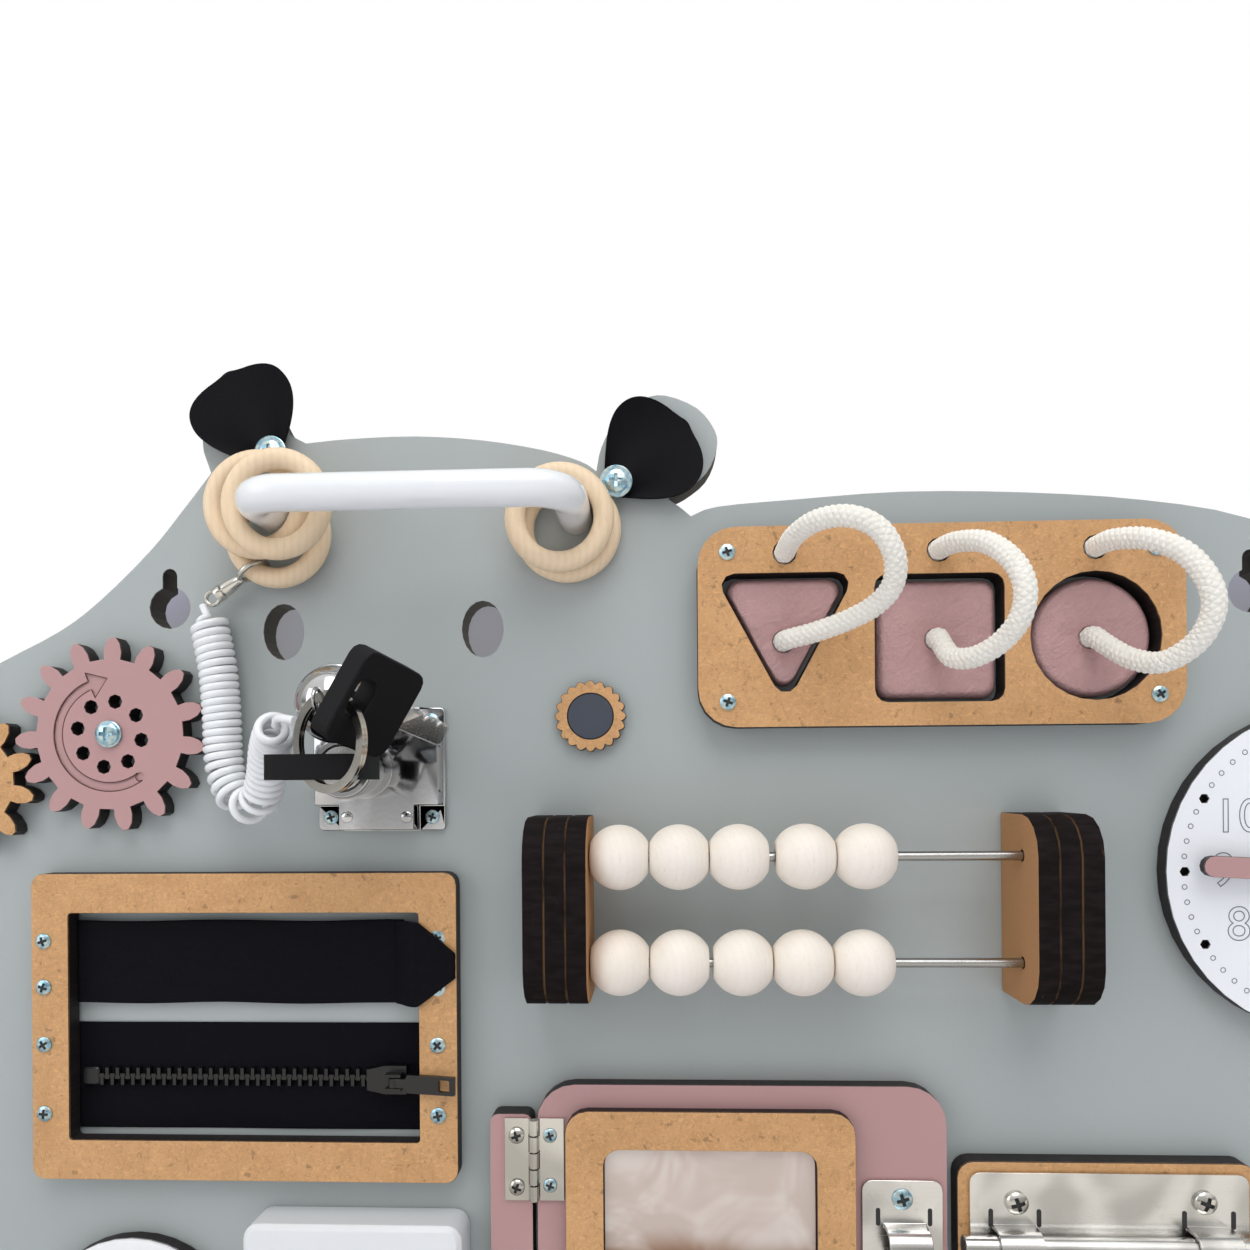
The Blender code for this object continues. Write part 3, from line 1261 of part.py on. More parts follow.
def insert_body(kind):
    """A padded insert: straight sides, a rounded upper edge and a rope hole."""
    bm = bmesh.new()
    loops = []
    for inset, out in ((0.0, 0.0), (0.0, 0.72), (0.18, 0.92), (0.6, 1.0)):
        points = shape_loop(kind, INSERT_GAP + inset * INSERT_THICK * 0.5, SHAPE_ROUND)
        loops.append([bm.verts.new((px, -out * INSERT_THICK, pz)) for px, pz in points])
    for low, high in zip(loops, loops[1:]):
        for i in range(len(low)):
            j = (i + 1) % len(low)
            bm.faces.new((low[i], low[j], high[j], high[i]))
    bm.faces.new(loops[0][::-1])
    bm.faces.new(loops[-1])
    insert = finish("insert_" + kind, bm, PINK, 0.6)
    hole = finish("hole", cylinder(ROPE_HOLE / 2, INSERT_THICK * 2, 12), PINK)
    hole.location = (0.0, -ROPE_SEAT, 0.0)
    cut(insert, hole)
    return insert


def make_ropes():
    """A cotton rope from the plate to each insert."""
    for kind, (cx, cz) in zip(SHAPES, shape_places()):
        points = [(cx + px * MM, pz * MM, pr * MM) for px, pz, pr in ROPE_POINTS[kind]]
        line = catmull(points, 3) + [points[-1]]
        tube("rope_" + kind, [at(px, pr, cz + pz) for px, pz, pr in line], ROPE_WIDTH, 1, COTTON, 0.9)


# Bead counter


def counter_side(side):
    """The middle of one block, left or right of the rods."""
    x, z = place(COUNTER_SHARE)
    return x + side * (BLOCK_SPAN + BLOCK_WIDTH) / 2, z


def make_counter():
    """Two layered blocks, two rods and two rows of turned beads."""
    x, z = place(COUNTER_SHARE)
    hang(counter_block("counter_block_left", -1), counter_side(-1)[0], GAP, z)
    hang(counter_block("counter_block_right", 1), counter_side(1)[0], GAP, z)
    for row, slacks in enumerate(COUNTER_SLACKS):
        row_z = z + (0.5 - row) * ROD_SPACING
        here = x - BLOCK_SPAN / 2
        for k, slack in enumerate(slacks):
            here += slack + RUNNING
            bead = finish(f"bead_{row + 1}_{k + 1}", turned(bead_body(), about_z(90.0)), BEAD, 0.6)
            hang(bead, here, ROD_REACH, row_z)
            here += BEAD_LENGTH


def counter_block(name, side):
    """Three glued layers, square at the board and round in front, bored for the rods."""
    depth, half = BLOCK_DEPTH, BLOCK_HEIGHT / 2
    outline = [(0.0, -half), (depth - BLOCK_ROUND, -half)]
    outline += arc(depth - BLOCK_ROUND, -half + BLOCK_ROUND, BLOCK_ROUND, -90, 0, 4)[1:]
    outline += arc(depth - BLOCK_ROUND, half - BLOCK_ROUND, BLOCK_ROUND, 0, 90, 4)
    outline += [(0.0, half)]
    layer = BLOCK_WIDTH / BLOCK_LAYERS
    seam = BLOCK_SEAM
    bm = bmesh.new()
    rows = []
    for k in range(BLOCK_LAYERS):
        low, high = k * layer, (k + 1) * layer
        rows += [(low + (seam if k else 0.0), 0.0), (high - (seam if k < BLOCK_LAYERS - 1 else 0.0), 0.0)]
        if k < BLOCK_LAYERS - 1:
            rows.append((high, seam))
    rings = []
    for along, inset in rows:
        ring = []
        for out, up in outline:
            shrink = 1.0 - inset / half
            ring.append(bm.verts.new((
                along - BLOCK_WIDTH / 2, -(out - (inset if out > 0.0 else 0.0)), up * shrink,
            )))
        rings.append(ring)
    for low, high in zip(rings, rings[1:]):
        for i in range(len(low)):
            j = (i + 1) % len(low)
            bm.faces.new((low[i], low[j], high[j], high[i]))
    bm.faces.new(rings[0][::-1])
    bm.faces.new(rings[-1])
    block = finish(name, bm, CHAR, 0.8)
    for row in (0, 1):
        row_place = (-side * BLOCK_WIDTH / 2, -(ROD_REACH - GAP), (0.5 - row) * ROD_SPACING)
        if side > 0:
            bore = turned(cylinder(ROD_WIDTH / 2 + GAP, ROD_SEAT + OVERRUN, 12), about_z(90.0))
            bore = finish("bore", turned(bore, Matrix.Translation((-OVERRUN, 0.0, 0.0))), FIBRE)
            bore.location = row_place
            cut(block, bore)
        else:
            rod = turned(cylinder(ROD_WIDTH / 2, BLOCK_SPAN + 2 * ROD_SEAT - GAP, 12), about_z(90.0))
            rod = finish("rod", turned(rod, Matrix.Translation((-ROD_SEAT, 0.0, 0.0))), STEEL)
            rod.location = row_place
            join(block, rod)
    return block


def bead_body():
    """A turned bead, a ball flattened where its bore comes out, along -Y from y = 0."""
    half, bore = BEAD_LENGTH / 2, BEAD_BORE / 2
    flat = math.degrees(math.asin(half / BEAD_RADIUS))
    turn = [(
        BEAD_RADIUS * math.cos(math.radians(a)), half + BEAD_RADIUS * math.sin(math.radians(a)),
    ) for a in np.linspace(-flat, flat, 5)]
    return revolve([(bore, 0.0), *turn, (bore, BEAD_LENGTH)], 12, closed=True)


# Scalloped holder


def make_flower():
    """A scalloped ring with a round magnet set into it."""
    x, z = place(FLOWER_SHARE)
    steps = FLOWER_LOBES * 4
    loop = []
    for k in range(steps):
        a = 2 * math.pi * k / steps
        radius = FLOWER_RADIUS - FLOWER_LOBE_DEPTH * (1.0 - abs(math.sin(FLOWER_LOBES * a / 2)))
        loop.append((radius * math.cos(a), radius * math.sin(a)))
    flower = finish("scalloped_holder", slab([loop], FLOWER_THICK), FIBRE, 0.7)
    seat = finish("seat", cylinder(MAGNET_RADIUS, FLOWER_THICK, 28), FIBRE)
    seat.location = (0.0, -(FLOWER_THICK - MAGNET_DROP), 0.0)
    cut(flower, seat)
    hang(flower, x, GAP, z)


# Clock


def hand_outline(length):
    """A round-ended bar that turns about the origin and points along +X."""
    half = HAND_WIDTH / 2
    boss = HAND_WIDTH * 0.85
    meet = math.degrees(math.asin(half / boss))
    return arc(0.0, 0.0, boss, meet, 360 - meet, 14) + arc(length - half, 0.0, half, -90, 90, 6)


def make_clock():
    """The dial with its twelve holes, and two hands stacked on its hub."""
    x, z = place(CLOCK_SHARE)
    holes = [circle(px, pz, CLOCK_HOLE / 2, 6) for px, pz in circle(0.0, 0.0, CLOCK_HOLE_RING, 12)]
    face = finish("clock_face", slab([circle(0.0, 0.0, CLOCK_RADIUS, 44), *holes], CLOCK_THICK), WHITE, 0.5)
    hub_length = 2 * HAND_THICK + 3 * GAP + CLOCK_THICK / 2
    hub = finish("hub", cylinder(CLOCK_HUB, hub_length, 16), WHITE)
    hub.location = (0.0, -CLOCK_THICK / 2, 0.0)
    join(face, hub)
    hang(face, x, GAP, z)
    rise = 2 * GAP + CLOCK_THICK
    for name, length, deg in (("hour_hand", HOUR_HAND, HOUR_DEG), ("minute_hand", MINUTE_HAND, MINUTE_DEG)):
        bore = circle(0.0, 0.0, CLOCK_HUB + RUNNING, 16)
        hand = finish(name, turned(slab([hand_outline(length), bore], HAND_THICK), about_y(-deg)), PINK, 0.55)
        hang(hand, x, rise, z)
        rise += HAND_THICK + GAP


# Door, hinges and slide bolt


def door_edges():
    """The hinge axis's place, right of the origin, and the door's middle height."""
    x, z = place(DOOR_SHARE)
    return x - DOOR_WIDTH / 2 - HINGE_GAP / 2, z


def make_door():
    """The fixed strip, the door panel, the window frame and the mirror behind it."""
    x, z = place(DOOR_SHARE)
    axis_x = door_edges()[0]
    strip_loop = rounded(0.0, 0.0, STRIP_WIDTH, STRIP_HEIGHT, STRIP_CORNER, 3)
    strip = finish("door_strip", slab([strip_loop], DOOR_THICK + DOOR_LIFT - GAP), PINK, 0.55)
    strip_x = axis_x - HINGE_GAP / 2 - STRIP_WIDTH / 2
    panel_loop = rounded(0.0, 0.0, DOOR_WIDTH, DOOR_HEIGHT, DOOR_CORNER, 5)
    panel = finish("door_panel", slab([panel_loop], DOOR_THICK), PINK, 0.55)
    for plate, side, middle in ((strip, -1, strip_x), (panel, 1, x)):
        lower = hinge_leaf(side, "lower_leaf", GAP + HINGE_THICK / 2)
        lower.location = (axis_x - middle, front_of(plate) - HINGE_KNUCKLE - GAP, -HINGE_RISE)
        join(plate, lower)
    hang(strip, strip_x, GAP, z)
    hang(panel, x, DOOR_LIFT, z)
    frame_x = x - DOOR_WIDTH / 2 + FRAME_INSET + FRAME_WIDTH / 2
    face_rise = DOOR_LIFT + DOOR_THICK + GAP
    window = rounded(0.0, 0.0, WINDOW_WIDTH, WINDOW_HEIGHT, WINDOW_CORNER, 4)
    frame_loop = rounded(0.0, 0.0, FRAME_WIDTH, FRAME_HEIGHT, FRAME_CORNER, 4)
    frame = finish("window_frame", slab([frame_loop, window], FRAME_THICK), FIBRE, 0.7)
    hang(frame, frame_x, face_rise, z)
    glass = rounded(0.0, 0.0, WINDOW_WIDTH - 2 * GAP, WINDOW_HEIGHT - 2 * GAP, WINDOW_CORNER - GAP, 4)
    hang(finish("window_mirror", slab([glass], MIRROR_THICK), STEEL, 0.05, 1.0), frame_x, face_rise, z)
    for side, name in ((-1, "hinge_leaf_fixed"), (1, "hinge_leaf_moving")):
        hang(hinge_leaf(side, name), axis_x, hinge_axis_rise(), z + HINGE_RISE)


def hinge_axis_rise():
    """How far in front of the board the hinge pins stand."""
    return DOOR_LIFT + DOOR_THICK + GAP + HINGE_KNUCKLE


def front_of(plate):
    """The front face of a plate that is still at the origin."""
    return min(vert.co.y for vert in plate.data.vertices)


def hinge_leaf(side, name, sink=0.0):
    """One leaf with its share of the knuckles, about a pin that runs up through the origin."""
    start = HINGE_KNUCKLE + GAP
    body = turned(
        box(HINGE_LEAF, HINGE_THICK + sink, HINGE_HEIGHT),
        Matrix.Translation((side * (start + HINGE_LEAF / 2), HINGE_KNUCKLE + sink, 0.0)),
    )
    item = finish(name, body, NICKEL, 0.25, 1.0)
    knuckle = HINGE_HEIGHT / HINGE_KNUCKLES
    root, tip = HINGE_BORE, start + HINGE_THICK
    for k in range(HINGE_KNUCKLES):
        if (k % 2 == 0) != (side < 0):
            continue
        length = knuckle - 2 * RUNNING
        low = -HINGE_HEIGHT / 2 + k * knuckle + RUNNING
        if side < 0:
            roll = cylinder(HINGE_KNUCKLE, length, 8)
        else:
            roll = washer(HINGE_BORE, HINGE_KNUCKLE, length, 8)
        roll = turned(turned(roll, about_x(-90.0)), Matrix.Translation((0.0, 0.0, low)))
        join(item, finish("roll", roll, NICKEL))
        inset = HINGE_THICK / 8
        tongue = box(tip - root, HINGE_THICK - 2 * inset, length - 2 * inset)
        shift = Matrix.Translation((side * (root + tip) / 2, HINGE_KNUCKLE - inset, low + length / 2))
        join(item, finish("tongue", turned(tongue, shift), NICKEL))
    if side < 0:
        pin = turned(cylinder(HINGE_PIN, HINGE_HEIGHT - knuckle, 6), about_x(-90.0))
        join(
            item,
            finish("pin", turned(pin, Matrix.Translation((0.0, 0.0, (knuckle - HINGE_HEIGHT) / 2))), NICKEL),
        )
    return item


def latch_axis():
    """The left end of the withdrawn rod, and the rod's rise."""
    x, z = place(DOOR_SHARE)
    rise = 2 * GAP + BLOCK_PLATE_THICK + LATCH_PLATE_THICK + LATCH_ROD_GAP + LATCH_ROD / 2
    return x + DOOR_WIDTH / 2 + BLOCK_PLATE_GAP, rise, z + LATCH_RISE


def arch(width, foot):
    """A strap bent over the rod, which runs along X through the origin."""
    inner = LATCH_ROD / 2 + GAP
    outer = inner + LATCH_ARCH_WALL
    loop = [(foot, outer), *arc(0.0, 0.0, outer, 90, 270, 8), (foot, -outer)]
    loop += [(foot, -inner), *arc(0.0, 0.0, inner, 270, 90, 8), (foot, inner)]
    bm = slab([loop], width)
    turn = Matrix(((0, -1, 0, -width / 2), (1, 0, 0, 0), (0, 0, 1, 0), (0, 0, 0, 1)))
    return finish("arch", turned(bm, turn), STEEL)


def make_latch():
    """The backing block, the plate with its arches, the keeper and the sliding rod."""
    left, rise, z = latch_axis()
    plate_x = left + BLOCK_PLATE_WIDTH / 2
    block_loop = rounded(0.0, 0.0, BLOCK_PLATE_WIDTH, BLOCK_PLATE_HEIGHT, BLOCK_PLATE_CORNER, 4)
    hang(finish("latch_block", slab([block_loop], BLOCK_PLATE_THICK), CHAR, 0.8), plate_x, GAP, z)
    plate_loop = rounded(0.0, 0.0, LATCH_PLATE_WIDTH, LATCH_PLATE_HEIGHT, KEEPER_INSET * 2, 4)
    plate = finish("latch_plate", slab([plate_loop], LATCH_PLATE_THICK), STEEL, 0.25, 1.0)
    plate_rise = 2 * GAP + BLOCK_PLATE_THICK
    for share in LATCH_ARCH_SHARES:
        item = arch(LATCH_ARCH_WIDTH, rise - plate_rise - LATCH_PLATE_THICK / 2)
        item.location = ((share - 0.5) * LATCH_PLATE_WIDTH, plate_rise - rise, 0.0)
        join(plate, item)
    hang(plate, plate_x, plate_rise, z)
    keeper_loop = rounded(0.0, 0.0, KEEPER_WIDTH, KEEPER_HEIGHT, KEEPER_INSET * 2, 4)
    keeper = finish("keeper", slab([keeper_loop], KEEPER_THICK), STEEL, 0.25, 1.0)
    keeper_rise = DOOR_LIFT + DOOR_THICK + GAP
    item = arch(LATCH_ARCH_WIDTH, rise - keeper_rise - KEEPER_THICK / 2)
    item.location = ((KEEPER_ARCH_SHARE - 0.5) * KEEPER_WIDTH, keeper_rise - rise, 0.0)
    join(keeper, item)
    door_right = place(DOOR_SHARE)[0] + DOOR_WIDTH / 2
    hang(keeper, door_right - KEEPER_INSET - KEEPER_WIDTH / 2, keeper_rise, z)
    rod_turn = [
        (0.0, 0.0), (LATCH_ROD / 2 - GAP, 0.0), (LATCH_ROD / 2, GAP),
        (LATCH_ROD / 2, LATCH_ROD_LENGTH - GAP),
    ]
    rod_turn += [(LATCH_ROD / 2 - GAP, LATCH_ROD_LENGTH), (0.0, LATCH_ROD_LENGTH)]
    rod = finish("latch_rod", turned(revolve(rod_turn, 14), about_z(90.0)), STEEL, 0.22, 1.0)
    neck = LATCH_KNOB_WIDTH / 2
    ball = [(
        neck + neck / 2 * math.sin(a), LATCH_KNOB - neck + neck * math.cos(a),
    ) for a in np.linspace(math.pi * 0.9, 0.2, 4)]
    knob_turn = [(0.0, 0.0), (neck * 0.8, 0.0), (neck * 0.8, LATCH_KNOB - 2 * neck), *ball, (0.0, LATCH_KNOB)]
    knob = finish("knob", turned(revolve(knob_turn, 8), about_x(90.0)), STEEL)
    knob.location = (LATCH_KNOB_SHARE * LATCH_ROD_LENGTH, 0.0, 0.0)
    join(rod, knob)
    hang(rod, left, rise, z)


# Light switch and round plate


def switch_place():
    """The switch's middle: clear of the door's strip on its right and of the zip's frame above."""
    strip_left = door_edges()[0] - HINGE_GAP / 2 - STRIP_WIDTH
    frame_low = place(ZIP_SHARE)[1] - ZIP_HEIGHT / 2
    return strip_left - SWITCH_GAP - SWITCH_WIDTH / 2, frame_low - SWITCH_DROP - SWITCH_WIDTH / 2


def make_switch():
    """A square frame with a rocker that tips on its two side pins."""
    x, z = switch_place()
    front = SWITCH_DEPTH
    outer = rounded(0.0, 0.0, SWITCH_WIDTH, SWITCH_WIDTH, SWITCH_CORNER, 5)
    inner = rounded(
        0.0, 0.0, SWITCH_WIDTH - 2 * SWITCH_BEVEL, SWITCH_WIDTH - 2 * SWITCH_BEVEL,
        SWITCH_CORNER - SWITCH_BEVEL, 5,
    )
    bm = bmesh.new()
    rings = []
    for loop, out in ((outer, 0.0), (outer, front - SWITCH_BEVEL), (inner, front)):
        rings.append([bm.verts.new((px, -out, pz)) for px, pz in loop])
    for low, high in zip(rings, rings[1:]):
        for i in range(len(low)):
            j = (i + 1) % len(low)
            bm.faces.new((low[i], low[j], high[j], high[i]))
    bm.faces.new(rings[0][::-1])
    bm.faces.new(rings[-1])
    body = finish("switch_box", bm, WHITE, 0.4)
    well = (ROCKER_WIDTH + 2 * RUNNING, ROCKER_HEIGHT + 2 * RUNNING)
    hollow = finish("well", box(well[0], front, well[1]), WHITE)
    hollow.location = (0.0, -SWITCH_FLOOR, 0.0)
    cut(body, hollow)
    pin = cylinder(ROCKER_PIN + RUNNING, ROCKER_WIDTH + 2 * RUNNING + 2 * ROCKER_PIN_SEAT, 12)
    pin = turned(pin, Matrix.Translation((0.0, (ROCKER_WIDTH + 2 * RUNNING) / 2 + ROCKER_PIN_SEAT, 0.0)))
    sockets = finish("sockets", turned(pin, about_z(90.0)), WHITE)
    sockets.location = (0.0, -rocker_rise(), 0.0)
    cut(body, sockets)
    hang(body, x, GAP, z)
    rocker = finish("switch_rocker", rocker_body(), WHITE, 0.35)
    hang(rocker, x, GAP + rocker_rise(), z)


def rocker_rise():
    """How far the rocker's pins stand in front of the switch's back."""
    return SWITCH_DEPTH - ROCKER_THICK


def rocker_body():
    """A plate with a shallow V front, extruded across, tipped about pins on its sides."""
    half, thick = ROCKER_HEIGHT / 2 - ROCKER_ROOM, ROCKER_THICK
    crest = thick + half * math.tan(math.radians(ROCKER_TILT_DEG))
    side = [
        (-half, 0.0), (-half, thick), (0.0, crest - thick / 2), (half, thick), (half, 0.0),
        (0.0, -thick / 2),
    ]
    bm = bmesh.new()
    rings = []
    for across in (-ROCKER_WIDTH / 2, ROCKER_WIDTH / 2):
        rings.append([bm.verts.new((across, -out, up)) for up, out in side])
    count = len(side)
    for i in range(count):
        j = (i + 1) % count
        bm.faces.new((rings[0][i], rings[0][j], rings[1][j], rings[1][i]))
    bm.faces.new(rings[0][::-1])
    bm.faces.new(rings[1])
    body = finish("rocker", bm, WHITE)
    length = ROCKER_WIDTH + 2 * ROCKER_PIN_SEAT
    pin = turned(cylinder(ROCKER_PIN, length, 12), Matrix.Translation((0.0, length / 2, 0.0)))
    join(body, finish("pins", turned(pin, about_z(90.0)), WHITE))
    mesh = body.data.copy()
    bpy.data.objects.remove(body, do_unlink=True)
    mesh.transform(about_x(ROCKER_TILT_DEG))
    return mesh


def make_disc():
    """A plain round plate with a rounded front edge."""
    x = switch_place()[0] - SWITCH_WIDTH / 2 - DISC_GAP - DISC_RADIUS
    z = place(ZIP_SHARE)[1] - ZIP_HEIGHT / 2 - DISC_DROP - DISC_RADIUS
    turn = [(0.0, 0.0), (DISC_RADIUS, 0.0), (DISC_RADIUS, DISC_THICK - DISC_ROUND)]
    turn += [(
        DISC_RADIUS - DISC_ROUND + r, DISC_THICK - DISC_ROUND + out,
    ) for r, out in arc(0.0, 0.0, DISC_ROUND, 30, 90, 2)]
    turn += [(0.0, DISC_THICK)]
    hang(finish("round_disc", revolve(turn, 36), WHITE, 0.5), x, GAP, z)


def main():
    clear_scene()
    make_board()
    make_handle()
    make_rings()
    make_ears()
    make_gears()
    make_lock()
    make_keys()
    make_hook()
    make_cord()
    make_zip_frame()
    make_zip_tape()
    make_slider()
    make_pull()
    make_strap()
    make_shapes()
    make_ropes()
    make_flower()
    make_counter()
    make_clock()
    make_door()
    make_latch()
    make_switch()
    make_disc()


main()
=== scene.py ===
"""Dresses the wall activity board: a finish for every solid, and the fine pieces on them.

Metres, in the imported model's own frame: +X right, +Z up, and the board's front faces -Y.
"""

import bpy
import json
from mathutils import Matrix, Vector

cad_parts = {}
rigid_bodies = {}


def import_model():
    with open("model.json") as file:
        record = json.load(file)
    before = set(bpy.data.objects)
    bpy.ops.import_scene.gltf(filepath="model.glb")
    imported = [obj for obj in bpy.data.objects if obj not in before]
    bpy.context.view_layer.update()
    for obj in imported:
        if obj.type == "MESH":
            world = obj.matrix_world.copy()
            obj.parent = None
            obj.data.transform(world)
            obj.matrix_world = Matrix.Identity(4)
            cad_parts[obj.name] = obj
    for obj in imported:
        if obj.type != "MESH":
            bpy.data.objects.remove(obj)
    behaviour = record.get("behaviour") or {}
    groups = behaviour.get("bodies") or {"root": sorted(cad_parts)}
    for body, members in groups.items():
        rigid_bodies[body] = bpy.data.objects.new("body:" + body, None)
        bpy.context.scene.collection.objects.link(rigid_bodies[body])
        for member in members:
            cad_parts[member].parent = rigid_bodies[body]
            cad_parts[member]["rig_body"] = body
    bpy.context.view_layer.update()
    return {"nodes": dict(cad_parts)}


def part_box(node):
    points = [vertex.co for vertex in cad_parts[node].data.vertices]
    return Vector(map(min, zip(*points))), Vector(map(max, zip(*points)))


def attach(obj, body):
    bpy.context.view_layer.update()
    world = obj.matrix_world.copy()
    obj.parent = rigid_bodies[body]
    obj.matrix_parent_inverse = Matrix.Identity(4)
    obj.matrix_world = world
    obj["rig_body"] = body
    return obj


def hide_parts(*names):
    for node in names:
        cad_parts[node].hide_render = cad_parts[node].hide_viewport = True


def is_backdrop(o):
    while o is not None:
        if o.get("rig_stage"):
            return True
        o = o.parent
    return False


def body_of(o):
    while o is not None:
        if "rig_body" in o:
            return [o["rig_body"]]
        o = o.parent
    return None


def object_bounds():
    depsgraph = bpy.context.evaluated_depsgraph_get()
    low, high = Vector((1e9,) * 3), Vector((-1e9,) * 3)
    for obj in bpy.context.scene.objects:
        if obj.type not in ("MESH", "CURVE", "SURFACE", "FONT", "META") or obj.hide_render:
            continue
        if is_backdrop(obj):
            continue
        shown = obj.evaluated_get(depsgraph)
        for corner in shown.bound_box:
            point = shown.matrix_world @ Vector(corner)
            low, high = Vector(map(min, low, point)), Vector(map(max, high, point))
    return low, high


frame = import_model()

import json
import math
from functools import cache

import bmesh
import bpy
import numpy as np
from bpy.props import FloatProperty, FloatVectorProperty, IntProperty, PointerProperty
from mathutils import Matrix, Vector

bl_info = {
    "name": "Wall activity board",
    "version": (1, 0, 0),
    "blender": (4, 5, 0),
    "location": "View3D > Sidebar > Board",
    "description": "Finishes and fine pieces for a wooden wall activity board",
    "category": "Object",
}

MM = 0.001
BOARD_FRONT = 10.0 * MM

# Axes of the turning parts in millimetres, right of the origin and up
LARGE_GEAR, SMALL_GEAR = (-191.704, -42.115), (-240.731, -57.385)
LOCK_AXIS, CLOCK_AXIS = (-107.182, -54.2), (195.496, -88.197)


def tone(red, green, blue):
    """A colour as a screen shows it, 0 to 255, turned into the linear values of a shader."""
    shares = (red / 255.0, green / 255.0, blue / 255.0)
    return tuple(s / 12.92 if s <= 0.04045 else ((s + 0.055) / 1.055) ** 2.4 for s in shares)


def times(colour, *shares):
    """A colour times one share, or times one each for its red, green and blue."""
    return tuple(min(1.0, c * k) for c, k in zip(colour, shares * (3 // len(shares))))


# Shader maths


def operator(kind, reflected=False):
    """A method that adds one Math node of a kind, its two values swapped if reflected."""
    def work(self, other):
        return self.maths(kind, other, self) if reflected else self.maths(kind, self, other)
    return work


class Value:
    """One socket of a tree; arithmetic on it adds the Math nodes that work it out."""

    def __init__(self, nodes, socket):
        self.nodes, self.socket = nodes, socket

    def maths(self, operation, *values):
        return self.nodes.node("ShaderNodeMath", {"operation": operation}, dict(enumerate(values)))

    __add__ = __radd__ = operator("ADD")
    __mul__ = __rmul__ = operator("MULTIPLY")
    __sub__, __rsub__ = operator("SUBTRACT"), operator("SUBTRACT", reflected=True)
    __truediv__, __pow__ = operator("DIVIDE"), operator("POWER")
    __gt__, __lt__ = operator("GREATER_THAN"), operator("LESS_THAN")
    most, least = operator("MAXIMUM"), operator("MINIMUM")

    def __abs__(self):
        return self.maths("ABSOLUTE", self)

    def wave(self):
        """Its sine."""
        return self.maths("SINE", self)

    def between(self, low, high):
        """0 below low, 1 above high, and smooth between them."""
        settings = {"interpolation_type": "SMOOTHSTEP"}
        return self.nodes.node("ShaderNodeMapRange", settings, {0: self, 1: low, 2: high})


class Nodes:
    """Short ways to add nodes to a tree."""

    def __init__(self, tree):
        self.tree = tree

    def node(self, kind, settings=None, inputs=None, output=0):
        """Adds a node: its settings first, then the values or links of its sockets."""
        made = self.tree.nodes.new(kind)
        for key, value in (settings or {}).items():
            setattr(made, key, value)
        for key, value in (inputs or {}).items():
            self.feed(made.inputs[key], value)
        return Value(self, made.outputs[output])

    def feed(self, socket, value):
        """Gives a socket a value or a link."""
        if isinstance(value, Value):
            self.tree.links.new(value.socket, socket)
        else:
            socket.default_value = value

    def place(self, scale=(1.0, 1.0, 1.0), turn=(0.0, 0.0, 0.0)):
        """Object coordinates, turned and then scaled."""
        moved = self.node("ShaderNodeTexCoord", output="Object")
        if any(turn):
            moved = self.node("ShaderNodeMapping", {}, {"Vector": moved, "Rotation": turn})
        return self.vector("MULTIPLY", moved, scale)

    def vector(self, operation, *values, output=0):
        return self.node("ShaderNodeVectorMath", {"operation": operation}, dict(enumerate(values)), output)

    def parts(self, place):
        """The three numbers of a place."""
        made = self.node("ShaderNodeSeparateXYZ", {}, {0: place})
        return [Value(self, out) for out in made.socket.node.outputs]

    def noise(self, scale, detail=3.0, rough=0.55, bend=0.0, place=None):
        inputs = {"Vector": place or self.place(), "Scale": scale, "Detail": detail}
        inputs.update({"Roughness": rough, "Distortion": bend})
        return self.node("ShaderNodeTexNoise", {}, inputs)

    def mix(self, share, low, high):
        """Two colours mixed by a share."""
        low, high = [c if isinstance(c, Value) else (*c, 1.0) for c in (low, high)]
        return self.node("ShaderNodeMix", {"data_type": "RGBA"}, {0: share, 6: low, 7: high}, output=2)

    def ray(self, kind):
        return self.node("ShaderNodeLightPath", output=f"Is {kind} Ray")

    def join(self, share, low, high):
        """Two shaders mixed by a share."""
        return self.node("ShaderNodeMixShader", {}, {0: share, 1: low, 2: high})


class Finish(Nodes):
    """A material with one Principled surface whose sockets take values or links."""

    def __init__(self, name, colour, roughness, metallic=0.0):
        self.material = bpy.data.materials.new(name)
        self.material.use_nodes = True
        super().__init__(self.material.node_tree)
        self.surface = next(n for n in self.tree.nodes if n.type == "BSDF_PRINCIPLED")
        self.material.diffuse_color = (*colour, 1.0)
        self.set("Base Color", (*colour, 1.0))
        self.set("Roughness", roughness)
        self.set("Metallic", metallic)

    def set(self, socket, value):
        self.feed(self.surface.inputs[socket], value)

    def bump(self, height, distance, strength=1.0):
        inputs = {"Height": height, "Distance": distance, "Strength": strength}
        self.set("Normal", self.node("ShaderNodeBump", {}, inputs))


def give(finish, *names):
    """Puts a finish on pieces or carried-over solids, by name."""
    for name in names:
        item = bpy.data.objects[name]
        item.data.materials.clear()
        item.data.materials.append(finish.material)


# Surfaces worked out with numpy: each shell is its points and its faces


def grid_faces(rows, columns, close_rows=False, close_columns=False):
    """Quads between neighbours of a grid of points, wrapped round where a side is closed."""
    r, c = np.meshgrid(
        np.arange(rows if close_rows else rows - 1),
        np.arange(columns if close_columns else columns - 1), indexing="ij",
    )
    up, over = (r + 1) % rows, (c + 1) % columns
    corners = [r * columns + c, r * columns + over, up * columns + over, up * columns + c]
    return np.stack(corners, -1).reshape(-1, 4).tolist()


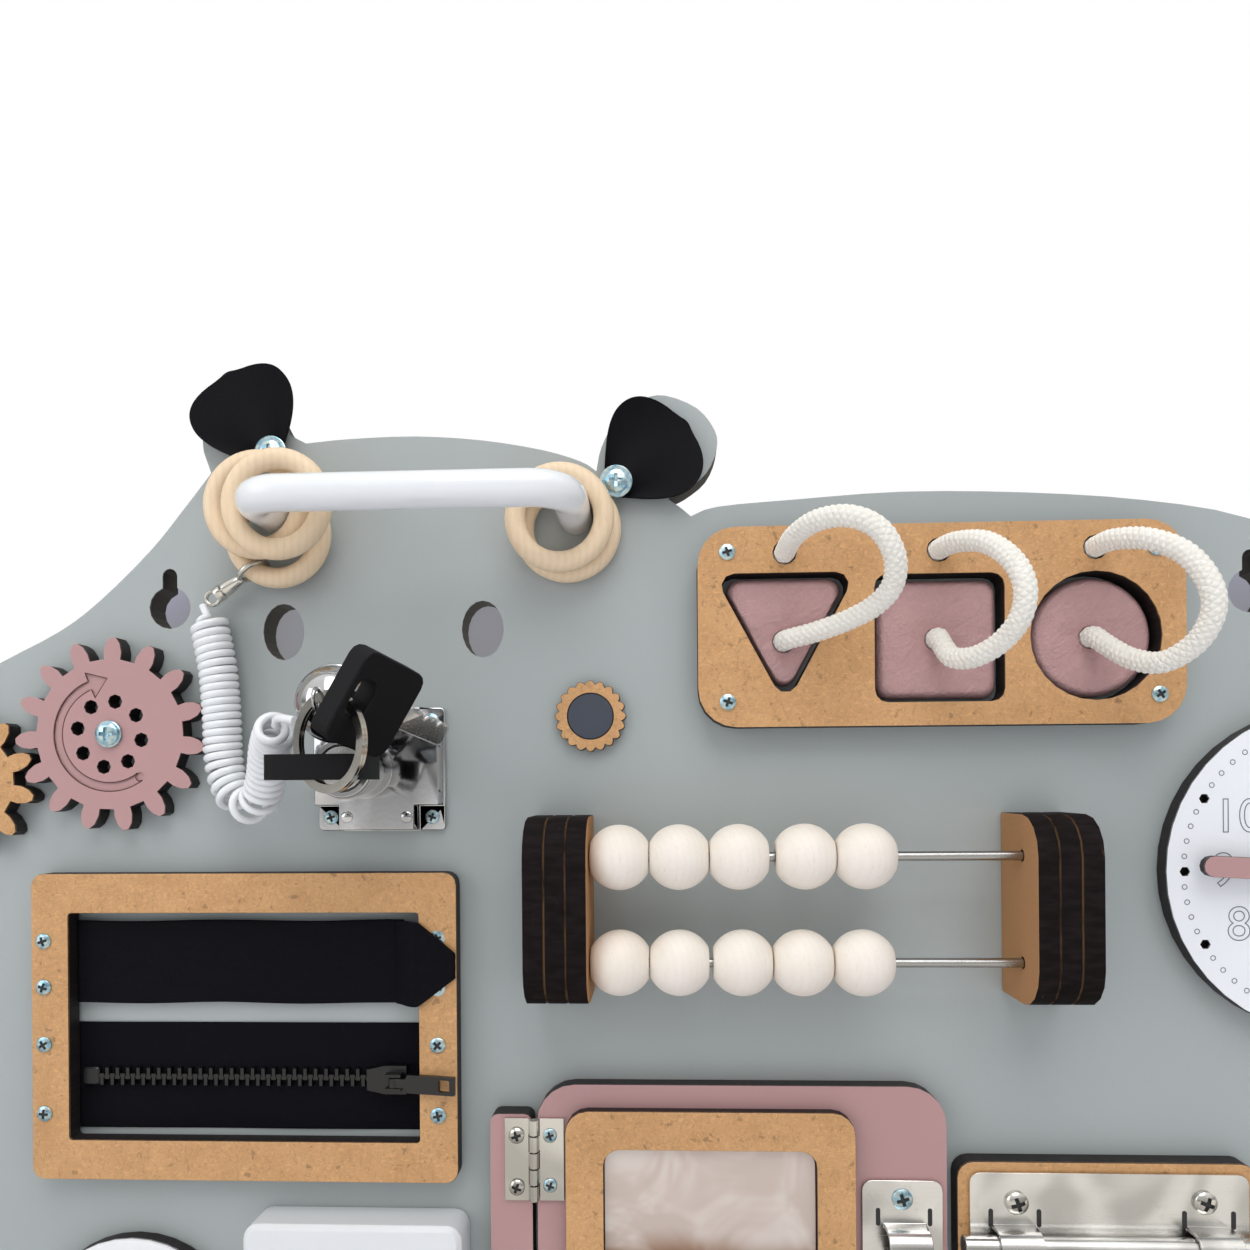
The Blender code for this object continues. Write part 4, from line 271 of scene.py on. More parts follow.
def shell(points, closed_rows=False):
    """A grid of points (rows, columns, 3) as a shell, its two end rows capped if it is open."""
    rows, columns = points.shape[:2]
    faces = grid_faces(rows, columns, closed_rows, True)
    if not closed_rows:
        faces.append(list(range(columns))[::-1])
        faces.append([(rows - 1) * columns + k for k in range(columns)])
    return points.reshape(-1, 3), faces


def rim_of(rows, columns):
    """The points round the edge of a grid, in order."""
    rim = list(range(columns)) + [k * columns + columns - 1 for k in range(1, rows)]
    rim += [(rows - 1) * columns + k for k in range(columns - 2, -1, -1)]
    return rim + [k * columns for k in range(rows - 2, 0, -1)]


def together(*shells):
    """Several shells as one."""
    points, faces, count = [], [], 0
    for each, its_faces in shells:
        points.append(np.asarray(each, float))
        faces += [[k + count for k in face] for face in its_faces]
        count += len(each)
    return np.concatenate(points), faces


def revolved(profile, steps, closed=False):
    """A profile of (radius, height) turned about the third axis: x = r cos a, y = r sin a."""
    a, r, h = round_angles(steps), profile[:, :1], profile[:, 1:]
    return shell(np.stack([r * np.cos(a), r * np.sin(a), h + 0 * a], -1), closed)


def turned(profile, steps, closed=False):
    """A profile in millimetres turned about the third axis."""
    return revolved(np.array(profile) * MM, steps, closed)


def round_angles(count):
    """Even angles once round a circle."""
    return np.linspace(0.0, 2 * math.pi, count, endpoint=False)


def unit(a):
    """The points (cos a, sin a)."""
    return np.stack([np.cos(a), np.sin(a)], -1)


def circle(bar, sides, middle=0.0):
    """A round section of diameter bar whose centre is at radius middle."""
    return bar / 2 * unit(round_angles(sides)) + (middle, 0.0)


def swept(path, section):
    """A section (across, over) carried along a path: p + across S + over O."""
    side, over = carried_frame(path)
    return shell(path[:, None] + section[None, :, :1] * side[:, None] + section[None, :, 1:] * over[:, None])


def carried_frame(path):
    """Side and over vectors that turn as little as they can along the path."""
    ahead = np.gradient(path, axis=0)
    ahead /= np.linalg.norm(ahead, axis=1)[:, None]
    side = np.zeros_like(path)
    start = np.cross(ahead[0], (0.0, 1.0, 0.013))
    side[0] = start - ahead[0] * start.dot(ahead[0])
    side[0] /= np.linalg.norm(side[0])
    for i in range(1, len(path)):
        side[i] = side[i - 1] - ahead[i] * side[i - 1].dot(ahead[i])
        side[i] /= np.linalg.norm(side[i])
    return side, np.cross(ahead, side)


def on_board(points):
    """Points (right, up, off the board's front) in the board's frame."""
    return np.stack([points[..., 0], -(BOARD_FRONT + points[..., 2]), points[..., 1]], -1)


def placed(shape, x=0.0, rise=0.0, z=0.0, turn=None):
    """A shape from (right, up, out) to the board: out is towards the viewer, off the front."""
    points, faces = shape
    if turn is not None:
        points = points @ np.array(turn.to_3x3()).T
    return on_board(points + (x, z, rise)), faces


def catmull(points, steps):
    """A smooth run through points: the cubic whose slope at each is half its neighbours' step."""
    p = np.asarray(points, float)
    q = np.vstack([2 * p[0] - p[1], p, 2 * p[-1] - p[-2]])
    t = np.arange(steps)[None, :, None] / steps
    a, b, c, d = q[:-3, None], q[1:-2, None], q[2:-1, None], q[3:, None]
    run = 0.5 * (2 * b + (c - a) * t + (2 * a - 5 * b + 4 * c - d) * t**2 + (3 * b - a - 3 * c + d) * t**3)
    return np.vstack([run.reshape(-1, p.shape[1]), p[-1:]])


def evened(line, count):
    """The same run with its points at even distances, and those distances."""
    along = np.concatenate([[0.0], np.cumsum(np.linalg.norm(np.diff(line, axis=0), axis=1))])
    even = np.linspace(0.0, along[-1], count)
    return even, np.stack([np.interp(even, along, line[:, k]) for k in range(line.shape[1])], -1)


def new_piece(name, shape, finish, body="board", smooth_deg=40.0, nodes=(), uv=None):
    """Makes a shape into a finished piece that rides on a body and may replace solids."""
    points, faces = shape
    mesh = bpy.data.meshes.new(name)
    mesh.from_pydata(points.tolist(), [], faces)
    if uv is not None:
        layer = mesh.uv_layers.new(name="cloth")
        corners = np.zeros(len(mesh.loops), np.int32)
        mesh.loops.foreach_get("vertex_index", corners)
        layer.data.foreach_set("uv", uv[corners].ravel())
    bm = bmesh.new()
    bm.from_mesh(mesh)
    bmesh.ops.remove_doubles(bm, verts=bm.verts, dist=1e-7)
    bmesh.ops.recalc_face_normals(bm, faces=bm.faces)
    bm.to_mesh(mesh)
    bm.free()
    mesh.polygons.foreach_set("use_smooth", np.ones(len(mesh.polygons), bool))
    mesh.set_sharp_from_angle(angle=math.radians(smooth_deg))
    return ride_as(bpy.data.objects.new(name, mesh), finish, body, nodes)


def ride_as(item, finish, body, nodes=()):
    """Links a piece, gives it its finish, and lets it ride on a body."""
    bpy.context.scene.collection.objects.link(item)
    item.data.materials.clear()
    item.data.materials.append(finish.material)
    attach(item, body)
    if nodes:
        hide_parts(*([nodes] if isinstance(nodes, str) else nodes))
    return item


def walled(item, thickness, offset):
    """Gives an open sheet its thickness."""
    wall = item.modifiers.new("wall", "SOLIDIFY")
    wall.thickness, wall.offset = thickness, offset


def eased(node, finish, width=None, segments=2, angle_deg=38.0):
    """A copy of a solid whose edges are rounded by a small bevel, and which replaces it."""
    source = frame["nodes"][node]
    mesh = source.data.copy()
    bm = bmesh.new()
    bm.from_mesh(mesh)
    bmesh.ops.remove_doubles(bm, verts=bm.verts, dist=2e-6)
    bmesh.ops.dissolve_limit(bm, angle_limit=math.radians(0.6), verts=bm.verts, edges=bm.edges)
    bmesh.ops.dissolve_degenerate(bm, dist=2e-6, edges=bm.edges)
    for face in bm.faces:
        face.smooth = True
    bm.to_mesh(mesh)
    bm.free()
    mesh.set_sharp_from_angle(angle=math.radians(angle_deg))
    item = ride_as(bpy.data.objects.new(node + "_eased", mesh), finish, source["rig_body"], node)
    bevel = item.modifiers.new("edges", "BEVEL")
    bevel.width = width * MM if width else sizes().edge
    bevel.segments = segments
    bevel.limit_method = "ANGLE"
    bevel.angle_limit = math.radians(angle_deg)
    bevel.use_clamp_overlap = True
    bevel.harden_normals = True
    return item


# Sizes and colours that a user would change


def colour_prop(name, description, red, green, blue):
    return FloatVectorProperty(
        name=name, description=description, subtype="COLOR", size=3, min=0.0, max=1.0,
        default=tone(red, green, blue),
    )


def length_prop(name, description, default):
    return FloatProperty(name=name, description=description, unit="LENGTH", default=default, min=0.0)


class BoardColours(bpy.types.PropertyGroup):
    board: colour_prop("Board", "Matt lacquer on the board", 168, 174, 173)
    rose: colour_prop("Rose", "Lacquer on the gear, the hands and the door", 181, 141, 140)
    fibre: colour_prop("Fibreboard", "Bare fibreboard", 204, 157, 107)
    burnt: colour_prop("Burnt edge", "Edge left by laser cutting", 24, 17, 18)
    leather: colour_prop("Insert cover", "Soft cover of the three inserts", 186, 146, 145)
    bead: colour_prop("Bead wood", "Bare wood of the beads", 240, 232, 222)
    ring: colour_prop("Ring wood", "Turned wood of the rings", 236, 212, 180)
    rope: colour_prop("Rope", "Cotton of the ropes", 240, 238, 232)
    white: colour_prop("White plastic", "Handle, cord, switch and dial", 236, 238, 240)
    black: colour_prop("Black", "Ears, strap, zip and key heads", 12, 12, 17)


class BoardSizes(bpy.types.PropertyGroup):
    screw: length_prop("Screw head", "Width of the small screw heads", 5.0 * MM)
    cord: length_prop("Cord wire", "Thickness of the curly cord's strand", 2.5 * MM)
    curl: length_prop("Curl", "Radius of the cord's curls to the strand's middle", 4.85 * MM)
    rope: length_prop("Rope", "Thickness of the braided ropes", 6.4 * MM)
    edge: length_prop("Edge", "Rounding of the plates' edges", 0.3 * MM)
    bar: length_prop("Handle bar", "Thickness of the carry handle", 11.0 * MM)
    ring_bar: length_prop("Ring bar", "Thickness of the wooden rings", 6.6 * MM)
    strands: IntProperty(name="Strands", description="Strands round the rope's braid", default=12, min=4)


def colours():
    return bpy.context.scene.board_colours


def sizes():
    return bpy.context.scene.board_sizes


# Finishes


def lacquer(name, colour, front, back=None, roughness=0.5):
    """Matt lacquer over fibreboard: fine orange peel, faint clouds, and burnt cut edges."""
    finish = Finish(name, colour, roughness)
    clouds = finish.noise(14.0, 2.0)
    grain = finish.noise(900.0, 2.0)
    base = finish.mix(clouds.between(0.3, 0.7) * 0.3, colour, times(colour, 0.9))
    base = finish.mix(grain.between(0.55, 0.8) * 0.12, base, times(colour, 1.25))
    burnt_sides(finish, base, front, back)
    finish.set("Roughness", clouds * 0.12 + (roughness - 0.06) + grain * 0.06)
    finish.bump(grain + finish.noise(240.0) * 0.8, 0.05 * MM, 0.35)
    return finish


def burnt_sides(finish, base, front, back=None):
    """Below a plate's front face its sides are burnt: dark, streaked through the thickness."""
    y = finish.parts(finish.place())[1]
    side = (y > front + 0.1 * MM) * (1 - (y > front + 0.44 * MM) * (y < front + 0.56 * MM))
    if back is not None:
        side = side * (1 - y.between(back - 0.2 * MM, back - 0.05 * MM))
    streak = finish.noise(900.0, 2.0, place=finish.place((1.0, 0.12, 1.0)))
    burnt = colours().burnt
    dark = finish.mix(streak.between(0.35, 0.75), times(burnt, 0.55), times(burnt, 1.9))
    finish.set("Base Color", finish.mix(side, base, dark))


def fibreboard(name, front):
    """Bare fibreboard: short dark and pale fibres in every direction, and burnt sides at the cuts."""
    base = colour = colours().fibre
    finish = Finish(name, colour, 0.62)
    clouds = finish.noise(60.0, 4.0, 0.65)
    flecks = finish.noise(430.0, 6.0, 0.85, 2.2, place=finish.place((1.0, 1.0, 0.55)))
    fibres = finish.noise(480.0, 5.0, 0.82, 2.6, place=finish.place((0.55, 1.0, 1.0)))
    dots = finish.noise(300.0, 3.0, 0.6)
    for share, *to in (
        (clouds.between(0.3, 0.72) * 0.55, 0.76, 0.70, 0.60), (flecks.between(0.5, 0.62) * 0.5, 0.5),
        (fibres.between(0.5, 0.64) * 0.42, 1.45), (dots.between(0.63, 0.7) * 0.55, 0.32),
    ):
        base = finish.mix(share, base, times(colour, *to))
    burnt_sides(finish, base, front)
    finish.set("Roughness", flecks * 0.2 + 0.5)
    finish.bump(flecks + fibres, 0.06 * MM, 0.5)
    return finish


def metal(name, colour, roughness, brushed=(60.0, 60.0, 60.0), wear=0.1):
    """Plated metal: roughness in fine brushed lines, broad darker patches painted into the colour as
    reflection of a faintly wavy surface, a few dull marks.
    """
    finish = Finish(name, colour, roughness, 1.0)
    lines = finish.noise(12.0, 3.0, place=finish.place(brushed))
    marks = finish.noise(160.0, 4.0, 0.7)
    finish.set("Roughness", lines * wear + marks.between(0.55, 0.85) * 0.12 + (roughness - wear / 2))
    # Broad patches a third darker in the colour: painted reflection
    broad = finish.noise(22.0, 2.0, 0.5, 1.0)
    shade = finish.mix(broad.between(0.4, 0.62), colour, times(colour, 0.66))
    finish.set("Base Color", finish.mix(marks.between(0.5, 0.9) * 0.3, shade, times(colour, 0.6)))
    finish.bump(lines + marks * 0.5, 0.02 * MM, 0.4)
    return finish


@cache
def nickel():
    return metal("bright_nickel", (0.72, 0.70, 0.66), 0.16)


@cache
def steel():
    return metal("brushed_steel", (0.80, 0.79, 0.77), 0.24, (4.0, 60.0, 200.0), 0.16)


@cache
def chrome():
    return metal("bright_chrome", (0.64, 0.645, 0.67), 0.09, wear=0.06)


@cache
def zinc():
    """Blue zinc plating on screws: cool and slightly iridescent; the dark in the recess is painted shade, a
    separate piece.
    """
    finish = Finish("blue_zinc", tone(160, 196, 212), 0.25, 1.0)
    tint = finish.noise(700.0, 2.0)
    finish.set("Base Color", finish.mix(tint.between(0.3, 0.7), tone(136, 182, 206), tone(206, 218, 216)))
    finish.set("Roughness", tint * 0.2 + 0.2)
    finish.bump(finish.noise(1800.0), 0.02 * MM, 0.4)
    return finish


def turned_wood(name, colour, figure=0.26):
    """Pale turned wood: growth rings as bands of distance from a slanting line, fine pores."""
    finish = Finish(name, colour, 0.5)
    place = finish.place((1.0, 1.0, 0.16), (0.4, 0.25, 0.1))
    bend = finish.noise(45.0, 2.0, place=place)
    x, y = finish.parts(place)[:2]
    rings = ((x * 2600.0 + y * 1500.0 + bend * 9.0).wave() * 0.5 + 0.5) ** 2.0
    pores = finish.noise(2600.0, 2.0, place=finish.place((1.0, 1.0, 0.12)))
    darker = times(colour, 0.86, 0.77, 0.64)
    base = finish.mix(rings * figure, colour, darker)
    base = finish.mix(pores.between(0.58, 0.8) * 0.35, base, times(darker, 0.62))
    base = finish.mix(finish.noise(30.0).between(0.4, 0.7) * 0.25, base, darker)
    finish.set("Base Color", base)
    finish.set("Roughness", pores * 0.2 + 0.42)
    finish.bump(pores + rings * 0.3, 0.03 * MM, 0.4)
    return finish


def plastic(name, colour, roughness, coat=0.0, texture=1200.0, depth=0.02):
    """Moulded plastic with a fine texture and faint handling marks."""
    finish = Finish(name, colour, roughness)
    grain = finish.noise(texture, 2.0)
    marks = finish.noise(70.0, 3.0, 0.6)
    finish.set("Base Color", finish.mix(marks.between(0.4, 0.8) * 0.16, colour, times(colour, 0.9)))
    finish.set("Roughness", grain * 0.08 + marks * 0.1 + (roughness - 0.09))
    finish.set("Coat Weight", coat)
    finish.bump(grain, depth * MM, 0.4)
    return finish


def woven(name, colour, across, along, roughness=0.85):
    """Woven tape on its own UV map, in metres: rows of threads over and under each other, with the crests of
    the weave and the fuzz painted paler as sheen.
    """
    finish = Finish(name, colour, roughness)
    u, v = finish.parts(finish.node("ShaderNodeTexCoord", output="UV"))[:2]
    warp = (u * (2 * math.pi / (across * MM))).wave()
    weft = (v * (2 * math.pi / (along * MM))).wave()
    thread = (warp * weft) * 0.5 + 0.5
    fuzz = finish.noise(2400.0, 3.0)
    # Paler colour on the weave's crests and its fuzz: painted sheen
    pale = tuple(c * 1.7 + 0.002 for c in colour)
    finish.set("Base Color", finish.mix(thread * 0.5 + fuzz.between(0.5, 0.8) * 0.35, colour, pale))
    finish.set("Roughness", fuzz * 0.15 + (roughness - 0.08))
    finish.set("Specular IOR Level", 0.08)
    finish.bump(thread + fuzz * 0.4, 0.12 * MM, 0.6)
    return finish


def grained_leather(name, colour, cell, depth, roughness, wrinkle):
    """Soft cover: small cells for the grain, and long wrinkles of stretched noise."""
    finish = Finish(name, colour, roughness)
    cells = {"Vector": finish.place(), "Scale": cell}
    grain = finish.node("ShaderNodeTexVoronoi", {"feature": "DISTANCE_TO_EDGE"}, cells)
    folds = finish.noise(120.0, 3.0, 0.6, 2.0, place=finish.place((1.0, 1.0, 2.2), (0.0, 0.6, 0.0)))
    fine = finish.noise(cell * 1.1, 5.0, 0.8, 1.0)
    base = finish.mix(folds.between(0.35, 0.7) * 0.35, colour, times(colour, 0.8))
    finish.set("Base Color", finish.mix(fine.between(0.48, 0.7) * 0.42, base, times(colour, 1.22)))
    finish.set("Roughness", fine * 0.18 + (roughness - 0.07))
    finish.bump(grain.between(0.0, 0.4) * 0.5 + fine * 0.7 + folds * wrinkle * 3.0, depth * MM, 0.6)
    return finish


def cotton(name, colour):
    """Spun cotton: fine fibres, with darker, yellower speckles and clouds from noise."""
    finish = Finish(name, colour, 0.9)
    fibre = finish.noise(2200.0, 4.0, 0.7)
    clouds = finish.noise(120.0, 2.0)
    share = fibre.between(0.35, 0.7) * 0.5 + clouds * 0.2
    finish.set("Base Color", finish.mix(share, colour, times(colour, 0.88, 0.82, 0.72)))
    finish.set("Roughness", fibre * 0.1 + 0.85)
    finish.set("Sheen Weight", 0.2)
    finish.bump(fibre, 0.15 * MM, 0.5)
    return finish


# Dark plastic for the screw heads' cross recesses: painted shade where the recess lies in shadow
@cache
def recess():
    return plastic("recess_painted_shade", tone(40, 42, 46), 0.6)


# Screws


def head_shape(radius, rise, depth, cross_width=0.15, cross_reach=0.56):
    """A screw head: a square grid bent to a disc, domed, with a cross sunk into it.

    Height is rise sqrt(1 - 0.8 r r), less depth inside either arm, an arm being where one share is
    under cross_width and the other under cross_reach, its floor sloping up to its end.
    """
    e = 0.025
    marks = [0.0, cross_width - e, cross_width + e, cross_reach - e, cross_reach + e, 0.78, 0.93, 1.0]
    marks = np.array(sorted({-m for m in marks} | set(marks)))
    u, v = np.meshgrid(marks, marks, indexing="ij")
    across, up = u * np.sqrt(1 - v * v / 2), v * np.sqrt(1 - u * u / 2)
    r = np.hypot(across, up)
    arms = [
        (abs(a) < cross_width) * (abs(b) < cross_reach) * (1 - 0.5 * abs(b) / cross_reach)
        for a, b in ((u, v), (v, u))
    ]
    height = rise * np.sqrt(np.clip(1 - 0.8 * r * r, 0.0, 1.0)) - depth * np.maximum(*arms)
    points = np.stack([radius * across, radius * up, height], -1).reshape(-1, 3)
    n, count = len(marks), len(points)
    edge = rim_of(n, n)
    foot = points[edge] * (1.0, 1.0, 0.0)
    faces = grid_faces(n, n) + [[count + i for i in range(len(edge))]]
    for i in range(len(edge)):
        j = (i + 1) % len(edge)
        faces.append([edge[i], count + i, count + j, edge[j]])
    return np.vstack([points, foot]), faces


def screws(name, spots, rise, body="board", width=None, tall=1.1, finish=None):
    """Cross-headed screws at (x, z) in millimetres, each turned its own way."""
    heads, cross_shades = [], []
    radius = (width * MM if width else sizes().screw) / 2
    for k, (x, z) in enumerate(spots):
        at = x * MM, rise, z * MM, Matrix.Rotation(math.radians(17.0 + 53.0 * k), 4, "Z")
        heads.append(placed(head_shape(radius, tall * MM, 0.9 * tall * MM, 0.16, 0.6), *at))
        cross_shades.append(placed(cross_shape(radius, tall * MM), *at))
    # A dark plus sign sunk in each head's cross: painted shade in the recess
    new_piece(name + "_crosses", together(*cross_shades), recess(), body, 28.0)
    new_piece(name, together(*heads), finish or zinc(), body, 28.0)


def layered(*layers):
    """A shell through outlines (right, up), each at its own height."""
    return shell(np.array([np.column_stack([loop, np.full(len(loop), h)]) for loop, h in layers]))


def cross_shape(radius, rise):
    """Painted shade for the bottom of a cross recess: a dark plus sign raised to half the recess's depth."""
    w, r = 0.15 * radius, 0.55 * radius
    plus = np.array([
        (w, r), (-w, r), (-w, w), (-r, w), (-r, -w), (-w, -w),
        (-w, -r), (w, -r), (w, -w), (r, -w), (r, w), (w, w),
    ])
    return layered((plus, 0.05 * rise), (plus, 0.52 * rise))


def front_y(node):
    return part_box(node)[0].y


def front_rise(node):
    """How far a solid's front face stands off the board's front."""
    return -front_y(node) - BOARD_FRONT


# One operator for each piece or group of like pieces


class BoardStep(bpy.types.Operator):
    """Shared base: runs build() and raises where it can't finish."""

    bl_options = {"REGISTER"}

    def execute(self, context):
        self.build()
        return {"FINISHED"}


class MakeStage(BoardStep):
    """Camera at the photograph's place, soft lamps, a white backdrop and floor."""

    bl_idname = "board.stage"
    bl_label = "Stage"

    def build(self):
        scene = bpy.context.scene
        scene.view_settings.view_transform = "Standard"
        self.camera(scene)
        self.lamps(scene)
        self.world(scene)
        self.ground()

    def camera(self, scene):
        """The eye 305 mm before the board's front, turned 2.5 degrees and rolled 0.45 degrees."""
        turn, roll, eye = math.radians(2.5), math.radians(0.45), (-0.0104, -0.315, -0.0587)
        look = Vector((-math.sin(turn), math.cos(turn), 0.0))
        flat, up = Vector((math.cos(turn), math.sin(turn), 0.0)), Vector((0.0, 0.0, 1.0))
        right = flat * math.cos(roll) - up * math.sin(roll)
        over = flat * math.sin(roll) + up * math.cos(roll)
        data = bpy.data.cameras.new("camera")
        data.lens, data.sensor_width, data.shift_y = 27.04, 36.0, 0.1248
        data.clip_start, data.clip_end = 0.01, 20.0
        item = bpy.data.objects.new("camera", data)
        facing = Matrix((right, over, -look)).transposed().to_4x4()
        item.matrix_world = Matrix.Translation(eye) @ facing
        scene.collection.objects.link(item)
        scene.camera = item

    def lamps(self, scene):
        """A broad soft lamp above and before the board, and a weaker one at its left."""
        for name, power, size, at, to in (
            ("lamp_above", 11.0, 1.1, (0.1, -0.75, 1.15), (0.0, 0.0, -0.1)),
            ("lamp_left", 4.0, 0.9, (-1.2, -0.9, 0.35), (0.0, 0.0, -0.05)),
        ):
            data = bpy.data.lights.new(name, "AREA")
            data.energy, data.size = power, size
            item = bpy.data.objects.new(name, data)
            item.location = at
            item.rotation_euler = (Vector(to) - Vector(at)).to_track_quat("-Z", "Y").to_euler()
            scene.collection.objects.link(item)

    def world(self, scene):
        """Even light, and white seen directly; behind the camera the mirror world has dark bands."""
        world = scene.world = bpy.data.worlds.new("studio")
        world.use_nodes = True
        world.node_tree.nodes.clear()
        nodes = Nodes(world.node_tree)
        y, z = nodes.parts(nodes.node("ShaderNodeTexCoord", output="Generated"))[1:]
        bands = nodes.node("ShaderNodeValToRGB", {}, {0: z.maths("MULTIPLY_ADD", z, 0.5, 0.5)})
        ramp = bands.socket.node.color_ramp.elements
        stops = ((0.0, 0.16), (0.36, 0.30), (0.47, 0.85), (0.53, 0.22), (0.62, 0.62), (0.85, 1.0))
        while len(ramp) < len(stops):
            ramp.new(0.5)
        for stop, (at, level) in zip(ramp, stops):
            stop.position, stop.color = at, (level, level * 0.985, level * 0.955, 1.0)
        white = (1.0, 1.0, 1.0)
        lit, shown, seen = [
            nodes.node("ShaderNodeBackground", {}, {0: colour, 1: strength})
            for colour, strength in (
                ((0.96, 0.98, 1.0, 1.0), 0.62), (nodes.mix(y > 0.0, bands, white), 1.0), ((*white, 1.0), 1.0),
            )
        ]
        camera, glossy, through = [nodes.ray(kind) for kind in ("Camera", "Glossy", "Transmission")]
        last = nodes.join(camera.most(through), nodes.join(glossy, lit, shown), seen)
        out = nodes.tree.nodes.new("ShaderNodeOutputWorld")
        nodes.feed(out.inputs[0], last)

    def ground(self):
        """A pale floor under the board and a wall behind it, white with a faint shadow."""
        low, far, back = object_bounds()[0].z - 2.0 * MM, 4.0, 9.0 * MM
        floor = [(-far, -far, low), (far, -far, low), (far, far, low), (-far, far, low)]
        wall = [(-far, back, low), (far, back, low), (far, back, far), (-far, back, far)]
        for name, corners in (("floor", floor), ("wall", wall)):
            mesh = bpy.data.meshes.new(name)
            mesh.from_pydata(corners, [], [(0, 1, 2, 3)])
            item = bpy.data.objects.new(name, mesh)
            bpy.context.scene.collection.objects.link(item)
            mesh.materials.append(self.paper(name).material)
            item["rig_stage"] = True

    def paper(self, name):
        """White when seen directly, save the wall right behind the board's holes: there it is painted a
        darker blue-grey as shade and lets its rendered shadow show.
        """
        finish = Finish(name + "_paper", tone(236, 236, 240), 0.9)
        x, y, z = finish.parts(finish.place())
        shown = finish.ray("Camera")
        if name == "wall":
            eyes = (abs(abs(x + 103.0 * MM) - 33.1 * MM) < 15.0 * MM) * (abs(z + 8.6 * MM) < 18.0 * MM)
            hangers = (abs(abs(x) - 174.5 * MM) < 12.0 * MM) * (abs(z + 1.0 * MM) < 13.0 * MM)
            # Patches behind the eye holes and hangers: painted shade in a blue-grey colour, and less white so
            # the rendered shadow shows too
            near = eyes.most(hangers)
            shown = shown * (1 - near * 0.78)
            finish.set("Base Color", finish.mix(near, tone(236, 236, 240), tone(150, 150, 192)))
        # What glossy rays see of the floor and wall: a light that is darker at and behind the board, painted
        # shade in reflections
        far = finish.mix((0.0 - y).between(0.02, 0.32), tone(186, 182, 174), tone(250, 246, 238))
        colours_seen = (1.0, 1.0, 1.0, 1.0), far
        white, glossy_seen_painted_shade = [finish.node("ShaderNodeEmission", {}, {0: seen, 1: 1.0}) for seen in colours_seen]
        share = finish.join(shown, Value(finish, finish.surface.outputs[0]), white)
        share = finish.join(finish.ray("Glossy"), share, glossy_seen_painted_shade)
        behind = finish.node("ShaderNodeNewGeometry", output="Backfacing")
        last = finish.join(behind, share, finish.node("ShaderNodeBsdfTransparent"))
        end = next(n for n in finish.tree.nodes if n.type == "OUTPUT_MATERIAL")
        finish.feed(end.inputs[0], last)
        return finish


# Points between two neighbours of a listed way
CURVE_STEPS = 24

# The curly cord's way, in millimetres: right of the origin, up, and off the board
CORD_POINTS = (
    (-158.2, -5.5, 6.6), (-157.0, -12.0, 6.6), (-155.2, -22.0, 6.6), (-154.0, -38.0, 6.6),
    (-153.8, -48.0, 6.6), (-152.4, -56.6, 6.9), (-147.0, -65.0, 9.2), (-139.4, -64.6, 13.6),
    (-134.4, -57.4, 18.6), (-131.0, -50.4, 24.6), (-127.2, -45.4, 31.0), (-123.0, -42.8, 37.5),
    (-121.0, -40.0, 42.6),
)
CORD_START = (-160.348, -0.497, 6.1)
CORD_END = (-113.744, -41.125, 47.329)


class MakeCord(BoardStep):
    """The white curly cord between the snap hook and the split ring."""

    bl_idname = "board.cord"
    bl_label = "Curly cord"

    def build(self):
        points = self.helix()
        size = sizes()
        shape = swept(points, circle(size.cord, 10))
        finish = plastic("cord_plastic", colours().white, 0.3, 0.3)
        cord = new_piece("curly_cord_strand", shape, finish, "board", 80.0, "curly_cord")

    def helix(self):
        """p + R(cos a S + sin a O): curls about the smoothed way, wider apart where it bends."""
        count, half, soft, per_curl = 900, 40, 20, 26
        straight_start, straight_end, closest = 4.0 * MM, 13.0 * MM, 2.35 * MM
        way = np.array([CORD_START, *CORD_POINTS, CORD_END]) * MM
        even, line = evened(on_board(catmull(way, CURVE_STEPS)), count)
        window = np.hanning(2 * half + 1)[:, None] / np.hanning(2 * half + 1).sum()
        middles = range(half, len(line) - half)
        rounder = np.array([(line[i - half:i + half + 1] * window).sum(0) for i in middles])
        even, line = evened(np.vstack([line[:soft], rounder, line[-soft:]]), count)
        ahead = np.gradient(line, even, axis=0)
        ahead /= np.linalg.norm(ahead, axis=1)[:, None]
        bend = np.linalg.norm(np.gradient(ahead, even, axis=0), axis=1)
        flat = np.ones(2 * soft + 1) / (2 * soft + 1)
        bend = np.convolve(np.pad(bend, soft, mode="edge"), flat, mode="valid")
        radius = sizes().curl
        pitch = closest / np.clip(1.0 - 1.3 * radius * bend, 0.3, 1.0)
        coiled = (even > straight_start) & (even < even[-1] - straight_end)
        turns = np.cumsum(np.where(coiled, 1.0 / pitch, 0.0)) * (even[1] - even[0])
        total = turns[-1]
        marks = np.linspace(0.0, total, int(total * per_curl))
        first, last = np.argmax(coiled), len(coiled) - np.argmax(coiled[::-1])
        reach = np.interp(marks, turns[first:last], even[first:last])
        grown = radius * np.clip(np.minimum(marks, total - marks) / 0.8, 0.0, 1.0)
        middle, side, over = [
            np.stack([np.interp(reach, even, read[:, k]) for k in range(3)], -1)
            for read in (line, *carried_frame(line))
        ]
        a = unit(2 * math.pi * marks)
        curls = middle + grown[:, None] * (a[:, :1] * side + a[:, 1:] * over)
        before = line[np.linspace(0, first, 8).astype(int)[:-1]]
        after = line[np.linspace(last, len(line) - 1, 24).astype(int)[1:]]
        return np.vstack([before, curls, after])


